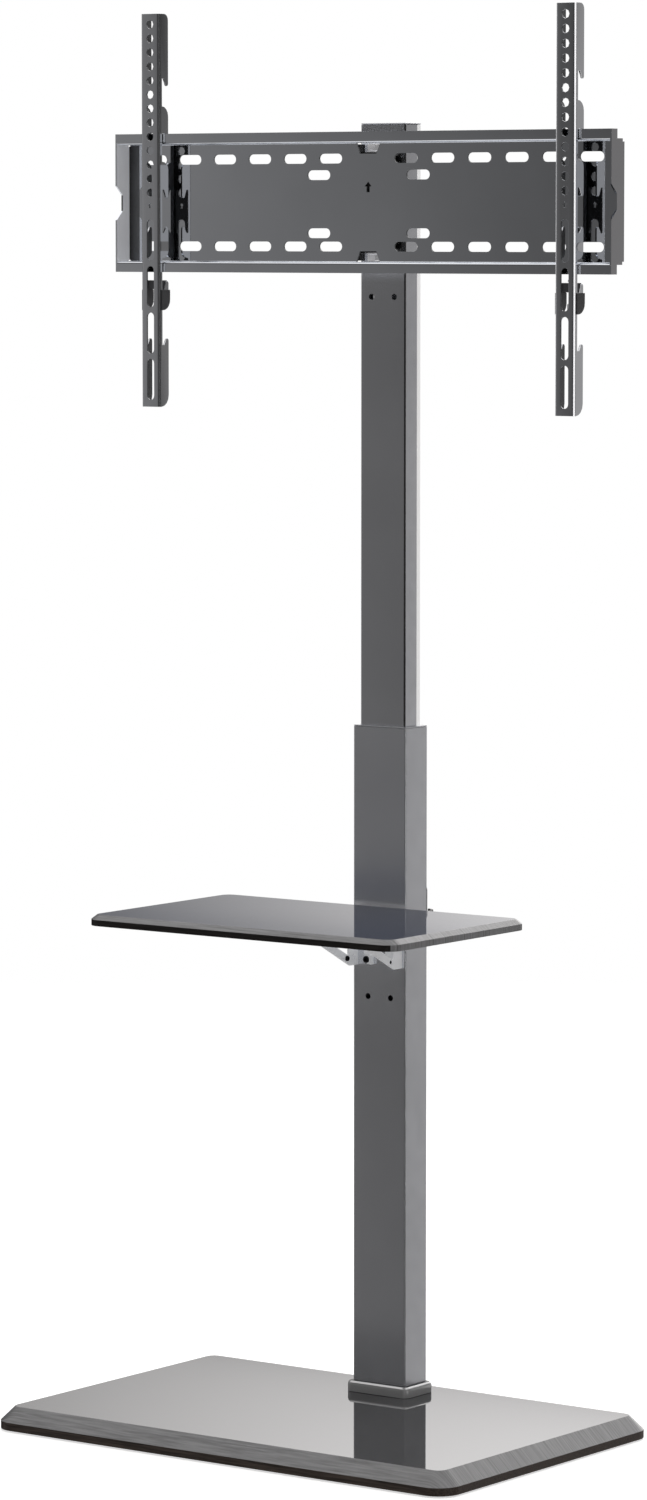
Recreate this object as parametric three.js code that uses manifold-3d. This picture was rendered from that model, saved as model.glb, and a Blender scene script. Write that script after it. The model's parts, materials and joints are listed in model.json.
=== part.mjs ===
// A floor stand for a television: a bevelled base board, a column of two tubes that slide in each other,
// a small shelf, and a swivelling wall-plate mount with two arms that hook over its lips.
// Millimetres, +Z up. The front faces -Y and +X is to the right of someone who faces the screen.
// The origin is on the floor, under the middle of the base board.
import * as THREE from 'three';
import { mergeVertices } from 'three/addons/utils/BufferGeometryUtils.js';
import Module from 'manifold-3d';

const wasm = await Module();
wasm.setup();

// Clearances that several pieces share
const seatGap = 0.3; // between two pieces that rest on each other
const runGap = 0.6; // around a piece that slides or turns in another
const overrun = 4; // how far a cutter passes the piece that it cuts

// Base board and what is under it
const baseWidth = 630;
const baseDepth = 410;
const baseThickness = 25;
const baseCornerRadius = 27;
const baseBevelRun = 16.5;
const baseEdgeHeight = 9;
const footDiameter = 28;
const footHeight = 1.7;
const footInset = 48;
const columnSetBack = 71; // from the board's back edge to the middle of the column
const underPlateWidth = 128;
const underPlateDepth = 84;
const underPlateThickness = 3;
const underPlateRadius = 8;
const baseBoltDiameter = 8;
const baseBoltHeadDiameter = 14;
const baseBoltHeadHeight = 3.6;
const baseBoltHeadRecess = 0.8;
const baseBoltSpanX = 42;
const baseBoltSpanY = 18;

// Column
const outerTubeWidth = 73;
const outerTubeDepth = 43;
const outerTubeTop = 796;
const outerTubeRadius = 1.8;
const innerTubeWidth = 62;
const innerTubeDepth = 31;
const innerTubeLength = 778;
const innerTubeOverlap = 96; // what stays inside the outer tube at the top setting
const innerTubeRadius = 1.8;
const tubeWall = 1.5;
const tubeHolePitchX = 31.6;
const tubeHoleDiameter = 7;
const endPlateThickness = 8;
const collarOverhang = 6.3;
const collarHeight = 13;
const collarRounding = 5;
const collarCornerRadius = 7;
const topBushDepth = 22;
const topBushLip = 1.2;
const bottomBushHeight = 12;
const bottomBushPlug = 16;
const capHeight = 1.6;
const capPlug = 14;
const plugWall = 3;
const lockBoltDiameter = 8;
const lockBoltHeadDiameter = 13;
const lockBoltHeadHeight = 4.5;
const lockNutAcrossFlats = 14;
const lockNutThickness = 6.5;
const lockPadDiameter = 10;
const lockPadThickness = 1.4;
const lockBoltPitch = 22;
const lockBoltDrop = 36; // from the outer tube's top to the upper lock bolt

// Shelf and its two brackets
const shelfWidth = 424;
const shelfDepth = 263;
const shelfThickness = 12.3;
const shelfCornerRadius = 18;
const shelfBevelRun = 6.9;
const shelfEdgeHeight = 7;
const shelfUnderside = 580.8;
const shelfBehindGap = 9.5; // between the column's front and the shelf's back edge
const bracketSheet = 2.5;
const bracketSpan = 62; // between the middles of the two bracket plates
const bracketReach = 124.5; // how far a bracket stands forward of the column
const bracketHeight = 58;
const bracketFoot = 15; // the level stretch of its lower edge
const bracketBackStrap = 17.5;
const bracketSlopeStrap = 9;
const bracketTopStrap = 10;
const bracketNose = 4.5;
const bracketTopFlange = 18;
const earRadius = 5.5; // round end of the bracket's flange, about its screws
const earDrop = 7; // from the bracket's lower edge up to its lower screw
const earRowPitch = 42.6;
const earLipReach = 3;
const earLipHeight = 10.4;
const earLipSet = 2.6; // the lip ends this far past the flange's inner edge
const poleScrewDiameter = 5;
const poleScrewHeadDiameter = 8;
const poleScrewHeadHeight = 3;
const sideScrewDiameter = 4;
const sideScrewHeadDiameter = 6.4;
const sideScrewHeadHeight = 2.6;
const shelfScrewDiameter = 4;
const shelfScrewHeadDiameter = 8;
const shelfScrewHeadHeight = 2.4;
const shelfScrewDepth = 8;
const shelfScrewFirst = 40.5; // from the column's front to the nearer shelf screws
const shelfScrewPitch = 62;

// Cable clip behind the column
const clipPlateWidth = 64;
const clipPlateThickness = 6.4;
const clipPlateHeight = 65;
const clipPlateTop = 619;
const clipPlateSlope = 11;
const clipRingRadius = 22;
const clipRingWall = 3;
const clipRingHeight = 27;
const clipMouth = 13;
const clipScrewDiameter = 4;
const clipScrewHeadDiameter = 8;
const clipScrewHeadHeight = 2.2;

// Mount: wall plate, swivel and arms
const plateDrop = 87.5; // from the inner tube's top to the middle of the plate
const plateWidth = 686.4;
const plateInnerHeight = 133.5; // between the facing sides of its two flanges
const plateDepth = 23.5; // from the front of the lips to the front of the web
const plateSheet = 2;
const plateBendRadius = 3; // outside of the bends between web, flanges and lips
const lipHeight = 12.4;
const endEarDepth = 11.5;
const endCutDepth = 11;
const endCutInner = 18;
const endCutOuter = 39;
const cornerRelief = 3.4;
const webSlotLength = 32;
const webSlotHeight = 11;
const webSlotPitch = 50;
const webSlotCount = 6; // on each side of the middle, in each of the two long rows
const webSlotFirst = 52.2; // from the middle to the first slot
const webLongRowRise = 49.5;
const webShortRowOffset = 68.8;
const webUpperShortRise = 31;
const webLowerShortRise = -34.5;
const plateArrowHeight = 12;
const notchWide = 32;
const notchNarrow = 23;
const notchDepth = 12;
const pivotAhead = 30; // the swivel axis stands this far in front of the column's middle
const pivotToWeb = 12.3; // from the swivel axis to the back of the web
const pivotBoltDiameter = 10;
const pivotHeadAcrossFlats = 17;
const pivotHeadHeight = 7.5;
const pivotNutAcrossFlats = 16;
const pivotNutThickness = 8;
const steelWasherDiameter = 20;
const steelWasherThickness = 1.4;
const glideWasherDiameter = 17;
const glideWasherThickness = 1;
const swivelSheet = 2.5;
const swivelPlateWidth = 80;
const swivelPlateHeight = 88;
const swivelTongueWidth = 34;
const swivelEarRadius = 9;
const swivelCheekHeight = 14;
const swivelCheekRise = 9; // how far the cheeks stand past the swivel's ears
const earLevel = 53.8; // height of the upper swivel ear's underside above the plate's centre
const fixedSheet = 3;
const fixedPlateWidth = 56;
const fixedEarRadius = 8.4;
const mountRowPitch = 66;
const mountUpperRow = 25.8; // upper screw row above the plate's centre
const mountScrewDiameter = 6;
const mountScrewHeadDiameter = 11;
const mountScrewHeadHeight = 3.3;
const armLength = 450;
const armWidth = 26;
const armDepth = 17.5;
const armSheet = 2;
const armBendRadius = 2.6;
const armFromEnd = 56.2; // from the plate's end to the middle of an arm
const armStandOff = 7; // the arm's face stands this far in front of the lips
const armRise = 136.9; // the arm's top stands this far above the plate's upper edge
const armRecess = 6; // what is left of the arm's sides in a recess
const armHoleDiameter = 10;
const armHolePitch = 16;
const armHoleCount = 13;
const armFirstHole = 12.1;
const armSlotLength = 47.2;
const armSlotPitch = 53.3;
const armSlotCount = 4;
const armFirstSlot = 235; // from the arm's top to the upper end of its first slot
const armArrowHeight = 6.5;
const armArrowDrop = 219;
const armTopRadius = 7;
const armBottomRadius = 13.5;

// Levels of the hooks in the arm's sides, down from the arm's top
const outerSlitTop = 73.7;
const outerTip = 82.3;
const outerShoulder = 105.4;
const innerShoulder = 168.7;
const innerShoulderHeight = 8.6;
const innerSlitTop = 200.8;
const innerTip = 210.3;
const lowerTip = 243.2;
const lowerSlitEnd = 250.2;
const lowerShoulder = 270.9;
const lockTip = 305.5;
const lockSlitEnd = 315.2;
const lobeEnd = 338;
const bottomTip = 371.4;
const bottomSlitEnd = 378.9;
const hookTipRadius = 2.6;
const slitWidth = 3.4;
const lipTongueReach = 9.6;
const lipTongueGap = 0.9;

// Lock saddle and safety screw at the lower lip
const saddleBlockHeight = 10.3;
const saddleCheek = 1.4;
const saddleProud = 0.9;
const saddleStart = 3; // behind the arm's face
const saddleBlockDepth = 15.2;
const screwShankDiameter = 5.6;
const screwTipDiameter = 8;
const screwTipHeight = 3.2;
const screwHeadDiameter = 9.4;
const screwHeadHeight = 9.4;
const screwHeadEdgeShare = 0.2;
const screwTravel = 12;
const screwTipBelowLip = 5;

// Levels and places that follow from those sizes
const baseUnderside = footHeight + seatGap;
const baseTop = baseUnderside + baseThickness;
const columnY = baseDepth / 2 - columnSetBack;
const outerTubeBottom = baseTop + seatGap;
const innerTubeBottom = outerTubeTop - innerTubeOverlap;
const innerTubeTop = innerTubeBottom + innerTubeLength;
const plateCentreHeight = innerTubeTop - plateDrop;
const outerBoreWidth = outerTubeWidth - 2 * tubeWall;
const outerBoreDepth = outerTubeDepth - 2 * tubeWall;
const innerBoreWidth = innerTubeWidth - 2 * tubeWall;
const innerBoreDepth = innerTubeDepth - 2 * tubeWall;
const bracketBottom = shelfUnderside - seatGap - bracketHeight;
const lowerEarLevel = bracketBottom + earDrop;
const sideScrewY = -outerTubeDepth / 2 - seatGap - bracketBackStrap - bracketSlopeStrap / 2;
const sideScrewLevel = bracketBottom + bracketSlopeStrap;
const shelfScrewX = bracketSpan / 2 - bracketTopFlange / 2 - bracketSheet / 2;
const shelfScrewYs = [0, 1].map((row) => -outerTubeDepth / 2 - shelfScrewFirst - row * shelfScrewPitch);
const lockBoltLevels = [outerTubeTop - lockBoltDrop, outerTubeTop - lockBoltDrop - lockBoltPitch];
const mountRows = [mountUpperRow, mountUpperRow - mountRowPitch];
const webFrontY = -pivotToWeb - plateSheet;
const lipFrontY = webFrontY - plateDepth;
const armFaceY = lipFrontY - armStandOff;
const plateInnerHalf = plateInnerHeight / 2;
const plateHalfHeight = plateInnerHalf + lipHeight;
const armTopLevel = plateHalfHeight + armRise;
const armOffset = plateWidth / 2 - armFromEnd;
const tubeFrontFromPivot = pivotAhead - innerTubeDepth / 2;

// Finishes
const finish = (color, roughness, metalness) =>
  new THREE.MeshStandardMaterial({ color, roughness, metalness });
const columnSteel = finish(0x5b5d61, 0.32, 0.55);
const mountSteel = finish(0x4e5054, 0.34, 0.6);
const baseVeneer = finish(0x8d8f92, 0.12, 0);
const shelfVeneer = finish(0x9398a3, 0.1, 0);
const blackPlastic = finish(0x17171a, 0.45, 0);
const collarPlastic = finish(0x1d1e21, 0.12, 0);
const blackRubber = finish(0x141414, 0.85, 0);
const nylon = finish(0xd9d8d0, 0.5, 0);
const greyPlastic = finish(0x5b5d61, 0.4, 0);
const brightSteel = finish(0xbfc4c8, 0.22, 0.9);
const zincSteel = finish(0xa9adb2, 0.38, 0.85);
const blackScrew = finish(0x1a1a1c, 0.38, 0.7);

// Solids: closed meshes are joined and cut, and come back as geometry
function toSolid(geometry) {
  const bare = geometry.clone();
  bare.deleteAttribute('normal');
  bare.deleteAttribute('uv');
  const merged = mergeVertices(bare);
  return new wasm.Manifold(new wasm.Mesh({
    numProp: 3,
    vertProperties: merged.attributes.position.array,
    triVerts: Uint32Array.from(merged.index.array),
  }));
}

function toGeometry(solid) {
  const mesh = solid.getMesh();
  const geometry = new THREE.BufferGeometry();
  geometry.setAttribute('position', new THREE.BufferAttribute(mesh.vertProperties, 3));
  geometry.setIndex(new THREE.BufferAttribute(mesh.triVerts, 1));
  geometry.computeVertexNormals();
  return geometry;
}

const join = (parts) => toGeometry(parts.map(toSolid).reduce((whole, part) => whole.add(part)));
const cut = (body, tools) =>
  toGeometry(tools.map(toSolid).reduce((left, tool) => left.subtract(tool), toSolid(body)));
const common = (first, second) => toGeometry(toSolid(first).intersect(toSolid(second)));

// A mirror image across X = 0, with its triangles turned to face outwards again
function mirroredX(geometry) {
  const image = geometry.clone().scale(-1, 1, 1);
  const corners = image.index;
  for (let i = 0; i < corners.count; i += 3) {
    const second = corners.getX(i + 1);
    corners.setX(i + 1, corners.getX(i + 2));
    corners.setX(i + 2, second);
  }
  return image;
}

// Plain shapes and prisms
const box = (width, depth, height) => new THREE.BoxGeometry(width, depth, height);
const boxBetween = (x0, x1, y0, y1, z0, z1) =>
  box(x1 - x0, y1 - y0, z1 - z0).translate((x0 + x1) / 2, (y0 + y1) / 2, (z0 + z1) / 2);

const arcSteps = 3; // each quarter turn of an outline takes twice this many steps
const slotSteps = 2;
const extrude = (shape, depth, steps = arcSteps) =>
  new THREE.ExtrudeGeometry(shape, { depth, bevelEnabled: false, curveSegments: steps });

// An outline drawn in X and Y, carried upwards from z0
const prismUp = (shape, z0, height, steps) => extrude(shape, height, steps).translate(0, 0, z0);

// An outline drawn in X and Z, carried forwards from yBack
const frontBasis = new THREE.Matrix4().makeBasis(
  new THREE.Vector3(1, 0, 0), new THREE.Vector3(0, 0, 1), new THREE.Vector3(0, -1, 0));
const prismForward = (shape, yBack, depth, steps) =>
  extrude(shape, depth, steps).applyMatrix4(frontBasis).translate(0, yBack, 0);

// An outline drawn in Y and Z, carried to the right from x0
const sideBasis = new THREE.Matrix4().makeBasis(
  new THREE.Vector3(0, 1, 0), new THREE.Vector3(0, 0, 1), new THREE.Vector3(1, 0, 0));
const prismRight = (shape, x0, width, steps) =>
  extrude(shape, width, steps).applyMatrix4(sideBasis).translate(x0, 0, 0);

function roundedRect(width, height, radius) {
  const x = width / 2;
  const y = height / 2;
  const shape = new THREE.Shape();
  shape.moveTo(-x + radius, -y);
  shape.lineTo(x - radius, -y);
  shape.absarc(x - radius, -y + radius, radius, -Math.PI / 2, 0);
  shape.lineTo(x, y - radius);
  shape.absarc(x - radius, y - radius, radius, 0, Math.PI / 2);
  shape.lineTo(-x + radius, y);
  shape.absarc(-x + radius, y - radius, radius, Math.PI / 2, Math.PI);
  shape.lineTo(-x, -y + radius);
  shape.absarc(-x + radius, -y + radius, radius, Math.PI, 1.5 * Math.PI);
  return shape;
}

const polygon = (points) => new THREE.Shape(points.map(([x, y]) => new THREE.Vector2(x, y)));

function discShape(radius) {
  const shape = new THREE.Shape();
  shape.absarc(0, 0, radius, 0, 2 * Math.PI);
  return shape;
}

function hexagonShape(acrossFlats) {
  const radius = acrossFlats / Math.sqrt(3);
  const corners = [0, 1, 2, 3, 4, 5].map((step) => step * Math.PI / 3);
  return polygon(corners.map((angle) => [radius * Math.cos(angle), radius * Math.sin(angle)]));
}

// An arrow that points up, drawn round its middle
const arrowShares = { headHalf: 0.41, stemHalf: 0.18, neck: 0.04 };
function arrowShape(height) {
  const head = arrowShares.headHalf * height;
  const stem = arrowShares.stemHalf * height;
  const neck = arrowShares.neck * height;
  const half = height / 2;
  return polygon([
    [-stem, -half], [stem, -half], [stem, neck], [head, neck], [0, half], [-head, neck], [-stem, neck]]);
}

const roundSteps = 16;
const rodUp = (diameter, z0, height) =>
  new THREE.CylinderGeometry(diameter / 2, diameter / 2, height, roundSteps).rotateX(Math.PI / 2)
    .translate(0, 0, z0 + height / 2);
const rodForward = (diameter, yBack, length) =>
  new THREE.CylinderGeometry(diameter / 2, diameter / 2, length, roundSteps)
    .translate(0, yBack - length / 2, 0);
const rodRight = (diameter, x0, length) =>
  new THREE.CylinderGeometry(diameter / 2, diameter / 2, length, roundSteps).rotateZ(Math.PI / 2)
    .translate(x0 + length / 2, 0, 0);

// A turned piece from its half outline in radius and height, standing along Z
const turned = (profile) =>
  new THREE.LatheGeometry(profile.map(([r, z]) => new THREE.Vector2(r, z)), roundSteps).rotateX(Math.PI / 2);

// A screw along Z: its head lies above z = 0 and its shank below
const domeShares = { crown: 0.62, shoulder: 0.45 };
function domeScrew(headDiameter, headHeight, shankDiameter, shankLength) {
  const head = headDiameter / 2;
  const shank = shankDiameter / 2;
  return turned([
    [0, -shankLength], [shank, -shankLength], [shank, 0], [head, 0],
    [head, domeShares.shoulder * headHeight], [domeShares.crown * head, headHeight], [0, headHeight]]);
}

// A board with a flat underside, an upright edge and a bevel round its top
function bevelledBoard(width, depth, thickness, cornerRadius, bevelRun, edgeHeight) {
  const bevelDrop = thickness - edgeHeight;
  const both = new THREE.ExtrudeGeometry(roundedRect(width, depth, cornerRadius), {
    depth: edgeHeight,
    bevelEnabled: true,
    bevelThickness: bevelDrop,
    bevelSize: bevelRun,
    bevelOffset: -bevelRun,
    bevelSegments: 1,
    curveSegments: arcSteps + 1,
  });
  const keep = box(width + overrun, depth + overrun, thickness).translate(0, 0, thickness / 2);
  return common(both, keep);
}

function tube(width, depth, wall, radius, z0, height) {
  const shape = roundedRect(width, depth, radius);
  shape.holes.push(roundedRect(width - 2 * wall, depth - 2 * wall, radius - wall / 2));
  return prismUp(shape, z0, height);
}

function mesh(name, geometry, material, x = 0, y = 0, z = 0) {
  const piece = new THREE.Mesh(geometry, material);
  piece.name = name;
  piece.position.set(x, y, z);
  return piece;
}

function group(x, y, z, ...children) {
  const holder = new THREE.Group();
  holder.position.set(x, y, z);
  holder.add(...children);
  return holder;
}

const sides = [['left', -1], ['right', 1]];

// Base: board, plate and bolts under it, rubber feet
function basePieces() {
  const plateTop = baseUnderside + baseBoltHeadRecess + baseBoltHeadHeight + seatGap + underPlateThickness;
  const pocketTop = plateTop + seatGap;
  const boltHoleDiameter = baseBoltDiameter + 2 * seatGap;
  const boltTip = outerTubeBottom + endPlateThickness - seatGap;
  const boltPlaces = [-1, 1].flatMap((sx) =>
    [-1, 1].map((sy) => [sx * baseBoltSpanX / 2, sy * baseBoltSpanY / 2]));
  const holeAt = ([x, y], z0, height) => rodUp(boltHoleDiameter, z0, height).translate(x, y, 0);

  const board = cut(
    bevelledBoard(baseWidth, baseDepth, baseThickness, baseCornerRadius, baseBevelRun, baseEdgeHeight)
      .translate(0, 0, baseUnderside),
    [
      prismUp(roundedRect(underPlateWidth + 2 * runGap, underPlateDepth + 2 * runGap, underPlateRadius),
        baseUnderside - overrun, pocketTop - baseUnderside + overrun).translate(0, columnY, 0),
      ...boltPlaces.map((place) => holeAt(place, pocketTop - overrun, baseTop - pocketTop + 2 * overrun)
        .translate(0, columnY, 0)),
    ]);
  const underPlate = cut(
    prismUp(roundedRect(underPlateWidth, underPlateDepth, underPlateRadius), plateTop - underPlateThickness,
      underPlateThickness),
    boltPlaces.map((place) => holeAt(place, plateTop - underPlateThickness - overrun,
      underPlateThickness + 2 * overrun)));
  const endPlate = cut(
    prismUp(roundedRect(outerBoreWidth - 2 * seatGap, outerBoreDepth - 2 * seatGap, outerTubeRadius),
      outerTubeBottom, endPlateThickness),
    boltPlaces.map((place) => holeAt(place, outerTubeBottom - overrun, endPlateThickness + 2 * overrun)));
  const headTop = plateTop - underPlateThickness - seatGap;
  const bolt = domeScrew(baseBoltHeadDiameter, baseBoltHeadHeight, baseBoltDiameter, boltTip - headTop)
    .rotateX(Math.PI);
  const foot = turned([[0, 0], [footDiameter / 2 - footHeight / 2, 0], [footDiameter / 2, footHeight / 2],
    [footDiameter / 2, footHeight], [0, footHeight]]);
  const footX = baseWidth / 2 - footInset;
  const footY = baseDepth / 2 - footInset;
  const corners = [
    ['front_left', -1, -1], ['front_right', 1, -1], ['back_left', -1, 1], ['back_right', 1, 1]];

  return [
    mesh('base_board', board, baseVeneer),
    mesh('base_under_plate', underPlate, zincSteel, 0, columnY, 0),
    mesh('tube_end_plate', endPlate, zincSteel, 0, columnY, 0),
    ...boltPlaces.map(([x, y], i) => mesh(`base_bolt_${i + 1}`, bolt, zincSteel, x, columnY + y, headTop)),
    ...corners.map(([where, sx, sy]) =>
      mesh(`rubber_foot_${where}`, foot, blackRubber, sx * footX, sy * footY, 0)),
  ];
}

// Column: collar, outer tube, guide bush, and the two bolts that clamp the inner tube
function columnPieces() {
  const tubeBack = outerTubeDepth / 2;
  const holeDepth = tubeWall + 2 * overrun;
  const frontHole = (x, z) =>
    rodForward(tubeHoleDiameter, -tubeBack + tubeWall + overrun, holeDepth).translate(x, 0, z);
  const frontRows = [lowerEarLevel + earRowPitch, lowerEarLevel, lowerEarLevel - earRowPitch];
  const lockHole = (z) =>
    rodForward(lockBoltDiameter + 2 * runGap, tubeBack + overrun, holeDepth).translate(0, 0, z);
  const clipHole = rodForward(clipScrewDiameter + 2 * seatGap, tubeBack + overrun, holeDepth)
    .translate(0, 0, clipPlateTop - clipPlateSlope - clipScrewHeadDiameter);
  const outerTube = cut(
    tube(outerTubeWidth, outerTubeDepth, tubeWall, outerTubeRadius, outerTubeBottom,
      outerTubeTop - outerTubeBottom),
    [
      ...frontRows.flatMap((z) => [-1, 1].map((side) => frontHole(side * tubeHolePitchX / 2, z))),
      ...lockBoltLevels.map(lockHole),
      clipHole,
    ]);

  const collarWidth = outerTubeWidth + 2 * collarOverhang;
  const collarDepth = outerTubeDepth + 2 * collarOverhang;
  const collarBlank = new THREE.ExtrudeGeometry(roundedRect(collarWidth, collarDepth, collarCornerRadius), {
    depth: collarHeight - collarRounding,
    bevelEnabled: true,
    bevelThickness: collarRounding,
    bevelSize: collarRounding,
    bevelOffset: -collarRounding,
    bevelSegments: arcSteps,
    curveSegments: arcSteps,
  });
  const collarBore = roundedRect(outerTubeWidth + 2 * seatGap, outerTubeDepth + 2 * seatGap, outerTubeRadius);
  const collarRing = cut(
    common(collarBlank, box(baseWidth, baseDepth, collarHeight).translate(0, 0, collarHeight / 2)),
    [prismUp(collarBore, -overrun, collarHeight + 2 * overrun)]);

  const bushShape = roundedRect(outerBoreWidth - 2 * seatGap, outerBoreDepth - 2 * seatGap, outerTubeRadius);
  const lipShape = roundedRect(outerTubeWidth, outerTubeDepth, outerTubeRadius);
  const boreShape = roundedRect(innerTubeWidth + 2 * runGap, innerTubeDepth + 2 * runGap, innerTubeRadius);
  const bushBore = prismUp(boreShape, -topBushDepth - overrun, topBushDepth + 2 * overrun + topBushLip);
  const topBush = cut(
    join([
      prismUp(bushShape, -topBushDepth, topBushDepth + topBushLip),
      prismUp(lipShape, seatGap, topBushLip),
    ]),
    [bushBore]);

  const padBack = innerTubeDepth / 2 + seatGap + lockPadThickness;
  const nutBack = tubeBack + seatGap + lockNutThickness;
  const headFront = nutBack + seatGap;
  const lockNut = cut(
    prismForward(hexagonShape(lockNutAcrossFlats), nutBack, lockNutThickness),
    [rodForward(lockBoltDiameter + 2 * seatGap, nutBack + overrun, lockNutThickness + 2 * overrun)]);
  const lockBoltLength = headFront - padBack - seatGap;
  const lockBolt = domeScrew(lockBoltHeadDiameter, lockBoltHeadHeight, lockBoltDiameter, lockBoltLength)
    .rotateX(-Math.PI / 2).translate(0, headFront, 0);
  const lockPad = rodForward(lockPadDiameter, padBack, lockPadThickness);
  const lockNames = ['upper', 'lower'];

  return [
    mesh('column_collar', collarRing, collarPlastic, 0, 0, baseTop + seatGap),
    mesh('outer_tube', outerTube, columnSteel),
    mesh('guide_bush_top', topBush, blackPlastic, 0, 0, outerTubeTop),
    ...lockBoltLevels.flatMap((z, i) => [
      mesh(`height_lock_bolt_${lockNames[i]}`, lockBolt, blackScrew, 0, 0, z),
      mesh(`height_lock_nut_${lockNames[i]}`, lockNut, zincSteel, 0, 0, z),
      mesh(`height_lock_pad_${lockNames[i]}`, lockPad, nylon, 0, 0, z),
    ]),
  ];
}

// Cable clip: a sloped plate on the column's back that carries an open ring
function clipPieces() {
  const tubeBack = outerTubeDepth / 2 + seatGap;
  const plateBottom = clipPlateTop - clipPlateHeight;
  const plateBack = tubeBack + clipPlateThickness;
  const plateOutline = polygon([
    [tubeBack, plateBottom], [plateBack, plateBottom], [plateBack, clipPlateTop - clipPlateSlope],
    [tubeBack + tubeWall, clipPlateTop], [tubeBack, clipPlateTop]]);
  const ringCentre = plateBack - clipRingWall + clipRingRadius;
  const ring = discShape(clipRingRadius);
  ring.holes.push(discShape(clipRingRadius - clipRingWall));
  const mouth = boxBetween(-clipMouth / 2, clipMouth / 2, ringCentre, ringCentre + clipRingRadius + overrun,
    plateBottom - overrun, plateBottom + clipRingHeight + overrun);
  const screwLevel = clipPlateTop - clipPlateSlope - clipScrewHeadDiameter;
  const screwSeat = plateBack + seatGap;
  const body = cut(
    join([
      prismRight(plateOutline, -clipPlateWidth / 2, clipPlateWidth),
      prismUp(ring, plateBottom, clipRingHeight, roundSteps).translate(0, ringCentre, 0),
    ]),
    [mouth, rodForward(clipScrewDiameter + 2 * seatGap, plateBack + overrun, clipPlateThickness + 2 * overrun)
      .translate(0, 0, screwLevel)]);
  const screw = domeScrew(clipScrewHeadDiameter, clipScrewHeadHeight, clipScrewDiameter,
    clipPlateThickness + 2 * seatGap + tubeWall).rotateX(-Math.PI / 2).translate(0, screwSeat, 0);
  return [
    mesh('cable_clip', body, blackPlastic),
    mesh('cable_clip_screw', screw, blackScrew, 0, 0, screwLevel),
  ];
}

// Shelf: bevelled board on two folded triangular brackets, which are mirror images but for a small lip
function leftBracket() {
  const front = -outerTubeDepth / 2 - seatGap;
  const top = bracketBottom + bracketHeight;
  const tip = front - bracketReach;
  const footEnd = front - bracketFoot;
  const slope = (bracketHeight - bracketNose) / (bracketReach - bracketFoot - bracketNose);
  const strapRise = bracketSlopeStrap * Math.hypot(1, slope);
  const windowBack = front - bracketBackStrap;
  const windowTop = top - bracketTopStrap;
  const windowBottom = bracketBottom + strapRise + (footEnd - windowBack) * slope;
  const windowTip = footEnd - (windowTop - bracketBottom - strapRise) / slope;
  const outline = polygon([
    [front, bracketBottom], [footEnd, bracketBottom], [tip + bracketNose, top - bracketNose],
    [tip, top - bracketNose], [tip, top], [front, top]]);
  outline.holes.push(polygon([[windowBack, windowBottom], [windowBack, windowTop], [windowTip, windowTop]]));
  const outer = -bracketSpan / 2 - bracketSheet / 2;
  const inner = outer + bracketSheet;
  const topFlange = boxBetween(outer, -bracketSpan / 2 + bracketTopFlange, tip, windowBack,
    top - bracketSheet, top);

  const screwX = -tubeHolePitchX / 2;
  const upperEarLevel = lowerEarLevel + earRowPitch;
  const tilt = Math.atan2(earDrop - earRadius, screwX - outer);
  const flange = new THREE.Shape();
  flange.moveTo(outer, bracketBottom);
  flange.absarc(screwX, lowerEarLevel, earRadius, tilt - Math.PI / 2, 0);
  flange.absarc(screwX, upperEarLevel, earRadius, 0, Math.PI / 2);
  flange.lineTo(outer, upperEarLevel + earRadius);
  const earHoles = [lowerEarLevel, upperEarLevel].map((z) =>
    rodForward(poleScrewDiameter + 2 * seatGap, front + overrun, bracketSheet + 2 * overrun)
      .translate(screwX, 0, z));
  const sideHole = rodRight(sideScrewDiameter + 2 * seatGap, outer - overrun, bracketSheet + 2 * overrun)
    .translate(0, sideScrewY, sideScrewLevel);
  const flangeHoles = shelfScrewYs.map((y) =>
    rodUp(shelfScrewDiameter + 2 * seatGap, top - bracketSheet - overrun, bracketSheet + 2 * overrun)
      .translate(-shelfScrewX, y, 0));
  return cut(
    join([prismRight(outline, outer, inner - outer), topFlange, prismForward(flange, front, bracketSheet)]),
    [...earHoles, sideHole, ...flangeHoles]);
}

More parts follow.
